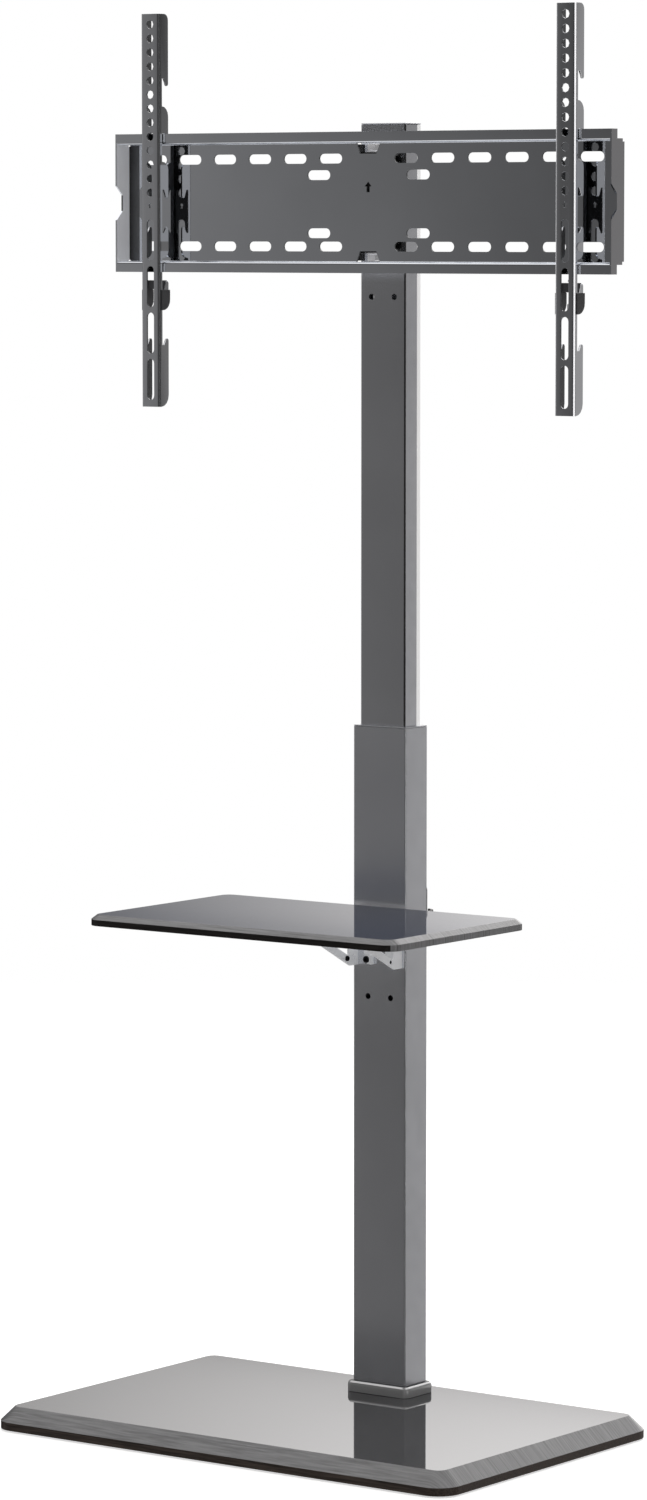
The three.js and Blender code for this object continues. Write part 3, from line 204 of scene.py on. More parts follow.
class MountSettings(PropertyGroup):
    edge_rounding: length("Sheet edge rounding", "Rounding of the plate's and arms' sheet edges", 0.28)
    pivot_rounding: length("Pivot rounding", "Rounding of the pivot's bolts, washers and nuts", 0.25)
    saddle_rounding: length("Saddle rounding", "Rounding of the arms' plastic blocks", 0.3)
    corner_shade: length("Corner shade", "Width of the darker strip in the slotted plate's left corner", 17)
    plate_colour: colour("Plate paint", "Colour of the slotted plate's glossy paint", (0.87, 0.90, 0.95))
    arm_colour: colour("Arm paint", "Colour of the arms' metallic paint", (0.80, 0.82, 0.86))
    # Painted shade: the arms' outer sides carry a darker copy of the arm paint
    arm_side_shade_colour: colour("Arm side shade", "Colour of the arms' sides", (0.54, 0.55, 0.57))
    # Painted light: the inside of the plate's left closed end is painted pale and glows faintly, though it
    # lies in a deep corner
    inner_end_colour: colour("Plate inner end painted light", "Colour inside the slotted plate's closed ends",
                             (0.80, 0.81, 0.84))
    inner_end_glow: level("Inner end glow",
                          "Faint light of the plate's closed ends, which lie in a deep corner", 0.20)
    # Painted shade: a darker copy of the plate paint on the outward faces of the plate's closed ends
    end_colour: colour("Plate end painted shade", "Colour outside the slotted plate's closed ends",
                       (0.30, 0.30, 0.31))
    # Painted shade: dark grey paint on the walls of slots and holes, on the arms' inner sides and on the left
    # arm's long bends
    hole_shade_colour: colour("Hole walls", "Colour of the paint inside slots and holes", (0.16, 0.165, 0.17))
    sheet: length("Steel sheet", "Thickness of the plate's and the arms' sheet", 2)
    # Near-black paint: painted shade on the backward faces inside the arms, and the swivel brackets' own
    # colour, which also stands for the shade seen through the plate's slots
    black_and_shade_colour: colour("Black paint and painted shade", "Colour of the swivel's brackets and inside the arms",
                        (0.006, 0.006, 0.0065))
    plate_roughness: share("Plate roughness", "Roughness of the plate's mirror-like paint", 0.05)
    arm_roughness: share("Arm roughness", "Roughness of the arms' paint", 0.08)
    chrome_colour: colour("Bright plating", "Colour of the pivot's bolts and the safety screws",
                          (0.90, 0.90, 0.92))
    chrome_glow: level("Bright plating glow", "Faint light of the bright bolts, which sit in deep shade",
                       0.15)
    # Painted highlight: the right arm's long front bends glow as bright lines
    bend_highlight_glow: level("Painted bend highlight glow", "Light of the painted highlight on the right arm's bends", 0.7)
    end_reach: length("Plate end reach", "How far the paint of the plate's closed ends reaches in", 12)
    end_face: FloatProperty(name="Plate end face", description="Least area of a face with the end paint",
                            default=400 * MM * MM, min=0.0)
    knurls: IntProperty(name="Knurls", description="Ridges round a safety screw's head", default=24, min=6,
                        max=60)


class StageSettings(PropertyGroup):
    camera_place: FloatVectorProperty(
        name="Camera place", description="Where the camera stands", subtype="XYZ", unit="LENGTH", size=3,
        default=(3.8722, -5.2787, 1.3616))
    camera_turn: FloatProperty(name="Camera turn", description="Turn of the camera about the upright axis",
                               default=math.radians(36.237), subtype="ANGLE", unit="ROTATION")
    camera_tilt: FloatProperty(name="Camera tilt", description="Downward tilt of the camera",
                               default=math.radians(5.091), subtype="ANGLE", unit="ROTATION")
    focal_length: FloatProperty(name="Focal length", description="Camera lens in millimetres", default=140.55,
                                min=1.0)
    floor_radius: length("Floor radius", "Radius of the pale round floor", 4500)
    floor_colour: colour("Floor", "Colour of the pale floor", (0.80, 0.80, 0.80))
    floor_glow: level("Floor glow", "Brightness that the floor has by itself", 0.6)
    fade_start: share("Fade start", "Where the floor begins to fade, as a share of its radius", 0.25)
    fade_end: share("Fade end", "Where the floor has faded, as a share of its radius", 0.9)
    surround: colour("Surround", "Tint of the light that comes from all round", (1.0, 0.982, 0.975))
    surround_level: level("Surround level", "Brightness of the even light from all round", 0.05)
    back_glow: level("Back glow", "Brightness of the soft light behind the stand", 1.9)
    right_glow: level("Right glow", "Brightness of the soft light behind it to the right", 0.46)
    front_glow: level("Front glow", "Brightness of the faint light in front of it to the left", 0.23)
    near_glow: level("Near glow", "Brightness of the soft light in front of it to the right", 0.40)
    side_glow: level("Side glow", "Brightness of the small light at its right side", 3.5)
    low_glow: level("Low glow", "Brightness of the light that a pale floor sends up", 0.8)
    top_glow: level("Top glow", "Brightness of the wide light above it", 1.2)


# Soft patches of light, as in a studio: the setting that gives the brightness, the turn from straight behind
# the stand toward the right, the rise, and the angles from its middle where a patch is full and where it ends
GLOW_DEGREES = {
    "back_glow": (-14, 24, 20, 31.5),
    "right_glow": (20, -7, 14.5, 21.5),
    "front_glow": (-120, -5, 14, 30),
    "near_glow": (144, 0, 6, 14),
    "side_glow": (91, 0, 4.5, 9),
    "low_glow": (0, -90, 30, 62),
    "top_glow": (0, 90, 25, 70),
}

SETTINGS = {
    "stand_boards": BoardSettings,
    "stand_column": ColumnSettings,
    "stand_shelf": ShelfSettings,
    "stand_mount": MountSettings,
    "stand_stage": StageSettings,
}


# Frame helpers

BODY_OF = {node: body for body, nodes in frame["record"]["behaviour"]["bodies"].items() for node in nodes}


def node_box(node):
    low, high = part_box(node)
    return Vector(low), Vector(high)


def centre_of(node):
    low, high = node_box(node)
    return (low + high) / 2


def keep_piece(node, bm, materials, pick=None):
    """Turns a mesh into the piece that stands for a node and moves with the node's body."""
    name = f"{node}_finished"
    mesh = bpy.data.meshes.new(name)
    for material in materials:
        mesh.materials.append(material)
    if pick is not None:
        bm.normal_update()
        for face in bm.faces:
            face.material_index = pick(face)
    bm.to_mesh(mesh)
    bm.free()
    piece = bpy.data.objects.new(name, mesh)
    bpy.context.scene.collection.objects.link(piece)
    weighted = piece.modifiers.new("Even shading", "WEIGHTED_NORMAL")
    weighted.keep_sharp = True
    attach(piece, BODY_OF[node])
    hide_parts(node)
    return piece


def smooth_by_angle(bm, limit):
    for face in bm.faces:
        face.smooth = True
    for edge in bm.edges:
        edge.smooth = edge.is_manifold and edge.calc_face_angle(0.0) < limit


def rounded_copy(node, rounding, segments=2):
    """A node's own solid with its flat faces made whole and its sharp edges rounded."""
    bm = bmesh.new()
    bm.from_mesh(frame["nodes"][node].data)
    bmesh.ops.remove_doubles(bm, verts=bm.verts, dist=MERGE)
    bmesh.ops.dissolve_limit(bm, angle_limit=FLAT, verts=bm.verts, edges=bm.edges)
    sharp = [edge for edge in bm.edges if edge.is_manifold and edge.calc_face_angle(0.0) > SHARP]
    if rounding > 0 and sharp:
        bmesh.ops.bevel(bm, geom=sharp, offset=rounding, offset_type="OFFSET", segments=segments, profile=0.5,
                        affect="EDGES", clamp_overlap=True)
    smooth_by_angle(bm, SMOOTH)
    return bm


def split_along(bm, place, normal):
    """Cuts new edges into a mesh where a plane meets it, so that a finish can end there."""
    bmesh.ops.bisect_plane(bm, geom=[*bm.verts, *bm.edges, *bm.faces], plane_co=place, plane_no=normal)


# Turned shapes: a stack of rings, each round or shaped by a rule for its radius

def round_ring(radius):
    return lambda angle: radius


def hex_ring(across_flats):
    sector = FULL_TURN / 6
    return lambda angle: across_flats / 2 / math.cos((angle % sector) - sector / 2)


def knurled_ring(radius, depth, ridges):
    return lambda angle: radius - depth * (0.5 - 0.5 * math.cos(angle * ridges))


def stacked_rings(rings, steps, place, axis):
    """A closed solid through rings of (radius rule, height), its heights along the axis from the place."""
    bm = bmesh.new()
    turn = Vector(UP).rotation_difference(Vector(axis)).to_matrix().to_4x4()
    whole = Matrix.Translation(Vector(place)) @ turn
    loops = []
    for rule, height in rings:
        loop = []
        for step in range(steps):
            angle = FULL_TURN * step / steps
            reach = rule(angle)
            point = Vector((reach * math.cos(angle), reach * math.sin(angle), height))
            loop.append(bm.verts.new(whole @ point))
        loops.append(loop)
    for lower, upper in zip(loops, loops[1:]):
        for step in range(steps):
            after = (step + 1) % steps
            bm.faces.new((lower[step], lower[after], upper[after], upper[step]))
    bm.faces.new(list(reversed(loops[0])))
    bm.faces.new(loops[-1])
    smooth_by_angle(bm, RING_SMOOTH)
    return bm


def socket_screw_rings(head, head_height, shank, shank_length, socket):
    """Rings of a domed screw with a six-sided socket, its seat at height zero and its head above."""
    crown = [(round_ring(head / 2 * reach), head_height * rise) for reach, rise in DOME_SHARES]
    tip = SHANK_TIP_SHARE * shank
    stem = [(round_ring(shank / 2 - tip), -shank_length), (round_ring(shank / 2), -shank_length + tip),
            (round_ring(shank / 2), 0.0)]
    rim = (hex_ring(socket), head_height * SOCKET_RIM_SHARE)
    floor = (hex_ring(socket * SOCKET_TAPER_SHARE), head_height * SOCKET_FLOOR_SHARE)
    return stem + crown + [rim, floor]


# Materials

class Recipe:
    """A node material under construction."""

    def __init__(self, name):
        self.material = bpy.data.materials.new(name)
        self.material.use_nodes = True
        self.tree = self.material.node_tree
        self.tree.nodes.clear()
        self.shader = self.node("ShaderNodeBsdfPrincipled")
        output = self.node("ShaderNodeOutputMaterial")
        self.link(self.shader.outputs["BSDF"], output.inputs["Surface"])
        self.place = self.node("ShaderNodeTexCoord").outputs["Object"]

    def node(self, kind, **settings):
        made = self.tree.nodes.new(kind)
        for key, value in settings.items():
            setattr(made, key, value)
        return made

    def link(self, source, target):
        self.tree.links.new(source, target)

    def set(self, **values):
        for key, value in values.items():
            self.shader.inputs[key.replace("_", " ")].default_value = value

    def stretched(self, scale):
        mapping = self.node("ShaderNodeMapping")
        mapping.inputs["Scale"].default_value = scale
        self.link(self.place, mapping.inputs["Vector"])
        return mapping.outputs["Vector"]

    def noise(self, scale, detail=2.0, roughness=0.5, vector=None):
        made = self.node("ShaderNodeTexNoise")
        made.inputs["Scale"].default_value = scale
        made.inputs["Detail"].default_value = detail
        made.inputs["Roughness"].default_value = roughness
        self.link(self.place if vector is None else vector, made.inputs["Vector"])
        return made.outputs["Fac"]

    def spread(self, source, low, high, start=0.3, stop=0.7):
        """Spreads a grey value between start and stop over the range from low to high."""
        made = self.node("ShaderNodeMapRange")
        made.inputs["From Min"].default_value = start
        made.inputs["From Max"].default_value = stop
        made.inputs["To Min"].default_value = low
        made.inputs["To Max"].default_value = high
        self.link(source, made.inputs["Value"])
        return made.outputs["Result"]

    def mixed(self, factor, first, second):
        made = self.node("ShaderNodeMix", data_type="RGBA")
        for socket, value in ((made.inputs[MIX_FIRST], first), (made.inputs[MIX_SECOND], second)):
            if hasattr(value, "links"):
                self.link(value, socket)
            else:
                socket.default_value = (*value, 1.0)
        self.link(factor, made.inputs[MIX_FACTOR])
        return made.outputs[MIX_RESULT]

    def bump(self, height, strength, distance):
        made = self.node("ShaderNodeBump")
        made.inputs["Strength"].default_value = strength
        made.inputs["Distance"].default_value = distance
        self.link(height, made.inputs["Height"])
        self.link(made.outputs["Normal"], self.shader.inputs["Normal"])

    def colour(self, socket):
        self.link(socket, self.shader.inputs["Base Color"])

    def roughness(self, socket):
        self.link(socket, self.shader.inputs["Roughness"])


def toned(rgb, factor):
    return tuple(min(1.0, channel * factor) for channel in rgb)


def paint_material(name, rgb, roughness, metallic=0.0, glow=0.0):
    """Smooth sprayed paint with faint cloudiness and fine orange peel."""
    made = Recipe(name)
    cloud = made.noise(scale=7.0, detail=3.0)
    made.colour(made.mixed(made.spread(cloud, low=0.0, high=1.0), toned(rgb, 0.95), toned(rgb, 1.05)))
    made.roughness(made.spread(made.noise(scale=60.0, detail=4.0), low=roughness * 0.9,
                               high=roughness * 1.12))
    made.bump(made.noise(scale=900.0, detail=2.0), strength=0.02, distance=0.01 * MM)
    made.set(Metallic=metallic, Emission_Color=(*rgb, 1.0), Emission_Strength=glow)
    return made.material


def shaded_material(name, rgb, roughness, start, stop):
    """Dark paint that grows lighter to the right, for a corner in shade."""
    made = Recipe(name)
    parts = made.node("ShaderNodeSeparateXYZ")
    made.link(made.place, parts.inputs["Vector"])
    along = made.spread(parts.outputs["X"], low=0.0, high=1.0, start=start, stop=stop)
    made.colour(made.mixed(along, toned(rgb, 0.005), toned(rgb, 0.24)))
    made.roughness(made.spread(made.noise(scale=60.0, detail=4.0), low=4 * roughness, high=6 * roughness))
    made.set(Specular_IOR_Level=0.1)
    return made.material


def laminate_material(name, rgb, roughness, grain):
    """Glossy laminate with fine straight grain that runs from side to side."""
    made = Recipe(name)
    along = 0.02 / grain
    fine = made.noise(scale=1.0, detail=4.0, roughness=0.6,
                      vector=made.stretched((along, 1 / grain, 1 / grain)))
    broad = made.noise(scale=1.0, detail=3.0, roughness=0.5,
                       vector=made.stretched((along / 6, 0.12 / grain, 0.12 / grain)))
    streaks = made.mixed(made.spread(fine, low=0.0, high=1.0, start=0.35, stop=0.65), toned(rgb, 0.93),
                         toned(rgb, 1.06))
    made.colour(made.mixed(made.spread(broad, low=0.0, high=0.35), streaks, toned(rgb, 1.12)))
    made.roughness(made.spread(fine, low=roughness * 0.85, high=roughness * 1.25))
    made.bump(fine, strength=0.02, distance=0.02 * MM)
    return made


def graded_laminate_material(name, rgb, roughness, grain, front, back, gloss):
    """Laminate whose specular level changes from the board's front to its back: a painted change of
    reflection that stands in for uneven light on the board.
    """
    at_front, at_back, power = gloss
    made = laminate_material(name, rgb, roughness, grain)
    parts = made.node("ShaderNodeSeparateXYZ")
    made.link(made.place, parts.inputs["Vector"])
    toward_back = made.node("ShaderNodeMath", operation="POWER")
    made.link(made.spread(parts.outputs["Y"], low=0.0, high=1.0, start=front, stop=back), toward_back.inputs[0])
    toward_back.inputs[1].default_value = power
    made.link(made.spread(toward_back.outputs["Value"], low=at_front, high=at_back, start=0.0, stop=1.0),
              made.shader.inputs["Specular IOR Level"])
    return made.material


def bevel_material(name, rgb, roughness, grain):
    """The laminate where it wraps over the bevels, its grain open enough to break the gloss."""
    made = Recipe(name)
    fine = made.noise(scale=1.0, detail=5.0, roughness=0.6,
                      vector=made.stretched((0.03 / grain, 0.7 / grain, 0.0)))
    broad = made.noise(scale=1.0, detail=3.0, roughness=0.5,
                       vector=made.stretched((0.01 / grain, 0.12 / grain, 0.0)))
    streaks = made.mixed(made.spread(fine, low=0.0, high=1.0, start=0.35, stop=0.65), toned(rgb, 0.6),
                         toned(rgb, 1.4))
    made.colour(made.mixed(made.spread(broad, low=0.0, high=0.5), streaks, toned(rgb, 1.4)))
    made.roughness(made.spread(fine, low=roughness * 0.8, high=roughness * 1.6))
    made.bump(fine, strength=0.12, distance=0.1 * MM)
    return made.material


def band_material(name, rgb, grain):
    """Dark wood foil on the boards' edges, with streaks along the board."""
    made = Recipe(name)
    streak = made.noise(scale=1.0, detail=5.0, roughness=0.65,
                        vector=made.stretched((0.03 / grain, 0.9 / grain, 0.9 / grain)))
    made.colour(made.mixed(made.spread(streak, low=0.0, high=1.0, start=0.38, stop=0.62), toned(rgb, 0.6),
                           toned(rgb, 1.7)))
    made.roughness(made.spread(streak, low=0.30, high=0.45))
    made.bump(streak, strength=0.12, distance=0.06 * MM)
    made.set(Specular_IOR_Level=0.3)
    return made.material


def plain_board_material(name, rgb):
    """Unfinished pressed board with fine fibres."""
    made = Recipe(name)
    fibre = made.noise(scale=600.0, detail=5.0, roughness=0.7)
    made.colour(made.mixed(made.spread(fibre, low=0.0, high=1.0), toned(rgb, 0.75), toned(rgb, 1.3)))
    made.roughness(made.spread(fibre, low=0.65, high=0.85))
    made.bump(fibre, strength=0.2, distance=0.1 * MM)
    return made.material


def plated_material(name, rgb, roughness, brushed=0.0, metallic=1.0, glow=0.0):
    """Plated steel, with faint brushing where it is asked for and a little haze."""
    made = Recipe(name)
    haze = made.noise(scale=90.0, detail=4.0, roughness=0.6)
    lines = made.noise(scale=1.0, detail=2.0, roughness=0.5, vector=made.stretched((90.0, 2200.0, 2200.0)))
    made.colour(made.mixed(made.spread(haze, low=0.0, high=1.0), toned(rgb, 0.92), toned(rgb, 1.06)))
    made.roughness(made.spread(haze, low=roughness * 0.8, high=roughness * 1.25))
    made.bump(lines, strength=0.02 + brushed, distance=0.02 * MM)
    made.set(Metallic=metallic, Emission_Color=(*rgb, 1.0), Emission_Strength=glow)
    return made.material


def moulded_material(name, rgb, roughness, texture=0.15):
    """Moulded plastic or rubber with a fine spark-eroded texture."""
    made = Recipe(name)
    spark = made.noise(scale=1900.0, detail=3.0, roughness=0.6)
    cloud = made.noise(scale=30.0, detail=2.0)
    made.colour(made.mixed(made.spread(cloud, low=0.0, high=1.0), toned(rgb, 0.88), toned(rgb, 1.15)))
    made.roughness(made.spread(spark, low=roughness * 0.88, high=roughness * 1.1))
    made.bump(spark, strength=texture, distance=0.05 * MM)
    return made.material


def finish_node(node, material):
    """Gives a CAD node that stays its own finish."""
    mesh = frame["nodes"][node].data
    if len(mesh.materials) == 0:
        mesh.materials.append(material)
    for index in range(len(mesh.materials)):
        mesh.materials[index] = material


def shared(name, make):
    """A material by name, made at its first use."""
    return bpy.data.materials.get(name) or make(name)


# Near-black paint: painted shade inside the arms, and the colour of the swivel's brackets
def black_and_shade_paint():
    sizes = bpy.context.scene.stand_mount
    return shared("Black paint and painted shade", lambda name: paint_material(name, sizes.black_and_shade_colour, sizes.arm_roughness))


# Dark grey painted shade for slot and hole walls and tight inner faces
def hole_shade_paint():
    sizes = bpy.context.scene.stand_mount
    return shared("Hole shade paint", lambda name: paint_material(name, sizes.hole_shade_colour, roughness=0.4))


def black_plastic():
    sizes = bpy.context.scene.stand_column
    return shared("Black plastic", lambda name: moulded_material(name, sizes.plastic_colour, roughness=0.42))


def black_screw():
    sizes = bpy.context.scene.stand_column
    return shared("Black screw", lambda name: plated_material(name, sizes.screw_colour, roughness=0.38))


def zinc():
    sizes = bpy.context.scene.stand_column
    return shared("Zinc plating",
                  lambda name: plated_material(name, sizes.zinc_colour, roughness=0.30, brushed=0.03))


def nylon():
    sizes = bpy.context.scene.stand_column
    return shared("Nylon",
                  lambda name: moulded_material(name, sizes.nylon_colour, roughness=0.5, texture=0.05))


# Bright plating with a faint glow: painted light on bolts and screws that sit in deep shade
def chrome():
    sizes = bpy.context.scene.stand_mount
    return shared("Bright plating",
                  lambda name: plated_material(name, sizes.chrome_colour, roughness=0.14, metallic=0.4,
                                               glow=sizes.chrome_glow))


# Makers of the pieces

def make_board(node, rgb, band, gloss, pale_ends):
    """A glossy board whose upright faces, bevels, top and underside have finishes of their own."""
    sizes = bpy.context.scene.stand_boards
    low, high = node_box(node)
    label = node.replace("_", " ").capitalize()
    top, edge, underside, bevel = range(4)
    materials = [
        graded_laminate_material(f"{label} laminate", rgb, sizes.gloss, sizes.grain_size,
                                 low.y, high.y, gloss),
        band_material(f"{label} edge band", band, sizes.grain_size),
        plain_board_material(f"{label} underside", sizes.underside_colour),
        bevel_material(f"{label} bevel", sizes.bevel_colour, sizes.bevel_roughness, sizes.grain_size),
    ]
    margin = 1.5 * sizes.edge_rounding
    downward, upright, end_on, level_top = 0.5, 0.35, 0.7, 0.97

    def pick(face):
        middle = face.calc_center_median()
        inset = min(middle.x - low.x, high.x - middle.x, middle.y - low.y, high.y - middle.y)
        if face.normal.z < -downward or (inset > sizes.edge_reach and face.normal.z < downward):
            return underside
        if abs(face.normal.z) < upright and middle.z < (low.z + high.z) / 2 + margin:
            return bevel if pale_ends and abs(face.normal.x) > end_on else edge
        return bevel if face.normal.z < level_top else top

    bm = rounded_copy(node, sizes.edge_rounding, segments=3)
    return keep_piece(node, bm, materials, pick)


def make_rounded(node, rounding, material):
    return keep_piece(node, rounded_copy(node, rounding), [material])


def make_screw(node, axis, material):
    """A domed socket screw in the place of a node; the axis points out of its head."""
    head_height, shank = next((height * MM, width * MM) for kind, (height, width) in SCREWS.items()
                              if node.startswith(kind))
    axis = Vector(axis)
    low, high = node_box(node)
    size = high - low
    head = min(size[i] for i in range(3) if axis[i] == 0)
    whole = sum(abs(axis[i]) * size[i] for i in range(3))
    outer = centre_of(node) + axis * whole / 2
    seat = outer - axis * head_height
    socket = head * bpy.context.scene.stand_shelf.socket_share
    rings = socket_screw_rings(head, head_height, shank, whole - head_height, socket)
    bm = stacked_rings(rings, SCREW_STEPS, seat, axis)
    return keep_piece(node, bm, [material])


# Operators

class STAND_OT_base_board(Operator):
    """Dress the bevelled base board"""
    bl_idname = "stand.base_board"
    bl_label = "Base board"

    def execute(self, context):
        sizes = context.scene.stand_boards
        make_board("base_board", sizes.base_colour, sizes.base_band, sizes.base_gloss,
                   pale_ends=False)
        return {"FINISHED"}


class STAND_OT_base_fittings(Operator):
    """Dress the plate, bolts and feet under the base board"""
    bl_idname = "stand.base_fittings"
    bl_label = "Base fittings"

    def execute(self, context):
        sizes = context.scene.stand_column
        for node in ("base_under_plate", "tube_end_plate"):
            finish_node(node, zinc())
        for number in range(1, 5):
            make_screw(f"base_bolt_{number}", DOWN, zinc())
        rubber = moulded_material("Foot rubber", sizes.rubber_colour, roughness=0.8, texture=0.3)
        for row in ("front", "back"):
            for side in SIDES:
                make_foot(f"rubber_foot_{row}_{side}", rubber)
        return {"FINISHED"}


def make_foot(node, rubber):
    """A thin rubber foot with rounded rim and a shallow ring groove."""
    low, high = node_box(node)
    radius = (high.x - low.x) / 2
    height = high.z - low.z
    rings = [(round_ring(radius * reach), height * rise) for reach, rise in reversed(FOOT_SHARES)]
    middle = centre_of(node)
    bm = stacked_rings(rings, FOOT_STEPS, (middle.x, middle.y, low.z), UP)
    return keep_piece(node, bm, [rubber])


class STAND_OT_column(Operator):
    """Dress the two tubes and the collar at their foot"""
    bl_idname = "stand.column"
    bl_label = "Column"

    def execute(self, context):
        sizes = context.scene.stand_column
        outer_paint = paint_material("Outer tube paint", sizes.paint_colour, sizes.roughness,
                                     sizes.outer_metallic)
        make_rounded("outer_tube", sizes.edge_rounding, outer_paint)
        make_inner_tube(sizes)
        # The collar's upward faces take near-black paint, painted shade over its glossy top
        collar_paints = [
            paint_material("Collar gloss", sizes.collar_colour, sizes.collar_roughness, metallic=0.5),
            paint_material("Collar top shade", sizes.collar_top_shade_colour, roughness=0.35),
        ]
        keep_piece("column_collar", rounded_copy("column_collar", sizes.edge_rounding), collar_paints,
                   lambda face: 1 if face.normal.z > FACING else 0)
        return {"FINISHED"}


def make_inner_tube(sizes):
    """The inner tube, with painted shade on its front right corner and a glowing painted highlight along the
    back of its right side.
    """
    paints = [
        paint_material("Inner tube paint", sizes.paint_colour, sizes.roughness, metallic=1.0),
        paint_material("Inner tube corner shade", sizes.tube_corner_shade, sizes.roughness),
        paint_material("Painted highlight strip", sizes.highlight_strip_colour, roughness=0.3, metallic=0.5,
                       glow=sizes.highlight_strip_glow),
    ]
    plain, corner, strip = range(3)
    strip_start = node_box("inner_tube")[1].y - sizes.highlight_strip_width
    least, most = EDGE_ON, 0.98

    # Near-black painted shade goes on the front right corner's facets, and a glowing painted highlight on the
    # back strip of the right side
    def pick(face):
        if least < face.normal.x < most and face.normal.y < -EDGE_ON / 2:
            return corner
        return strip if face.normal.x > FACING and face.calc_center_median().y > strip_start else plain

    bm = rounded_copy("inner_tube", sizes.edge_rounding)
    split_along(bm, (0, strip_start, 0), BACK)
    keep_piece("inner_tube", bm, paints, pick)


class STAND_OT_column_plugs(Operator):
    """Dress the guide bushes and the cap of the tubes"""
    bl_idname = "stand.column_plugs"
    bl_label = "Bushes and cap"

    def execute(self, context):
        sizes = context.scene.stand_column
        make_rounded("guide_bush_bottom", sizes.edge_rounding, black_plastic())
        grey = paint_material("Cap plastic", sizes.paint_colour, sizes.roughness, metallic=0.6)
        make_rounded("guide_bush_top", sizes.edge_rounding, grey)
        make_rounded("tube_cap", sizes.edge_rounding, grey)
        return {"FINISHED"}


class STAND_OT_height_locks(Operator):
    """Dress the bolts, nuts and pads that clamp the inner tube"""
    bl_idname = "stand.height_locks"
    bl_label = "Height locks"

    def execute(self, context):
        sizes = context.scene.stand_column
        for level in ("upper", "lower"):
            make_screw(f"height_lock_bolt_{level}", BACK, black_screw())
            make_rounded(f"height_lock_nut_{level}", sizes.nut_rounding, zinc())
            finish_node(f"height_lock_pad_{level}", nylon())
        return {"FINISHED"}


class STAND_OT_cable_clip(Operator):
    """Dress the cable clip behind the column"""
    bl_idname = "stand.cable_clip"
    bl_label = "Cable clip"

    def execute(self, context):
        sizes = context.scene.stand_column
        make_rounded("cable_clip", sizes.clip_rounding, black_plastic())
        make_screw("cable_clip_screw", BACK, black_screw())
        return {"FINISHED"}


class STAND_OT_shelf(Operator):
    """Dress the shelf board, its brackets and its screws"""
    bl_idname = "stand.shelf"
    bl_label = "Shelf"

    def execute(self, context):
        sizes = context.scene.stand_shelf
        boards = context.scene.stand_boards
        make_board("shelf_board", boards.shelf_colour, boards.shelf_band, boards.shelf_gloss,
                   pale_ends=True)
        # Painted light: the brackets' plating glows faintly so they read bright in the shade under the shelf
        bright = plated_material("Bracket metal", sizes.bracket_colour, roughness=0.32, brushed=0.05,
                                 metallic=0.2, glow=sizes.bracket_glow)
        for side, inward in zip(SIDES, (RIGHT, LEFT)):
            make_rounded(f"shelf_bracket_{side}", sizes.edge_rounding, bright)
            make_screw(f"bracket_side_screw_{side}", inward, black_screw())
            for level in ("lower", "upper"):
                make_screw(f"bracket_screw_{side}_{level}", FORWARD, black_screw())
            for row in (1, 2):
                make_screw(f"shelf_screw_{side}_{row}", DOWN, black_screw())
        return {"FINISHED"}


class STAND_OT_swivel(Operator):
    """Dress the swivel's brackets, bolts, washers and nuts"""
    bl_idname = "stand.swivel"
    bl_label = "Swivel"

    def execute(self, context):
        sizes = context.scene.stand_mount
        # The swivel's brackets are near black: their colour, and painted shade where they show through the
        # plate's slots and arrow
        make_rounded("column_pivot_bracket", sizes.edge_rounding, black_and_shade_paint())
        make_rounded("swivel_bracket", sizes.edge_rounding, black_and_shade_paint())
        for number in range(1, 5):
            make_screw(f"mount_screw_{number}", FORWARD, zinc())
        for end in ENDS:
            for part in ("bolt", "washer", "nut"):
                make_rounded(f"pivot_{part}_{end}", sizes.pivot_rounding, chrome())
            finish_node(f"pivot_glide_{end}", nylon())
        return {"FINISHED"}


class STAND_OT_wall_plate(Operator):
    """Dress the slotted plate"""
    bl_idname = "stand.wall_plate"
    bl_label = "Slotted plate"

    def execute(self, context):
        sizes = context.scene.stand_mount
        low, high = node_box("wall_plate")
        middle = (low.x + high.x) / 2
        shade_end = low.x + sizes.corner_shade
        web_front = high.y - HOLE_REACH * sizes.sheet
        paints = [
            paint_material("Plate paint", sizes.plate_colour, sizes.plate_roughness, metallic=1.0),
            paint_material("Plate end painted shade", sizes.end_colour, sizes.plate_roughness, metallic=1.0),
            shaded_material("Plate corner shade", sizes.plate_colour, sizes.plate_roughness,
                            low.x, shade_end),
            paint_material("Plate inner end painted light", sizes.inner_end_colour, roughness=0.4,
                           glow=sizes.inner_end_glow),
            hole_shade_paint(),
        ]
        plain, end, shade, inner_end, hole = range(5)

        def pick(face):
            place = face.calc_center_median()
            # Slot walls in the web take the dark grey painted shade
            if abs(face.normal.y) < EDGE_ON and place.y > web_front:
                return hole
            if face.normal.y < -FACING and place.x < shade_end and place.y > low.y + sizes.corner_shade / 2:
                return shade
            if abs(face.normal.x) <= FACING or face.calc_area() <= sizes.end_face:
                return plain
            # The left end's inner face takes pale paint with a faint glow, painted light
            if face.normal.x > 0 and place.x < min(middle, low.x + sizes.end_reach):
                return inner_end
            # Outward faces of the closed ends take the darker copy of the plate paint, painted shade
            outward = face.normal.x * (place.x - middle) > 0
            at_end = min(place.x - low.x, high.x - place.x) < sizes.end_reach
            return end if outward and at_end else plain

        bm = rounded_copy("wall_plate", sizes.edge_rounding, segments=3)
        split_along(bm, (shade_end, 0, 0), RIGHT)
        keep_piece("wall_plate", bm, paints, pick)
        return {"FINISHED"}


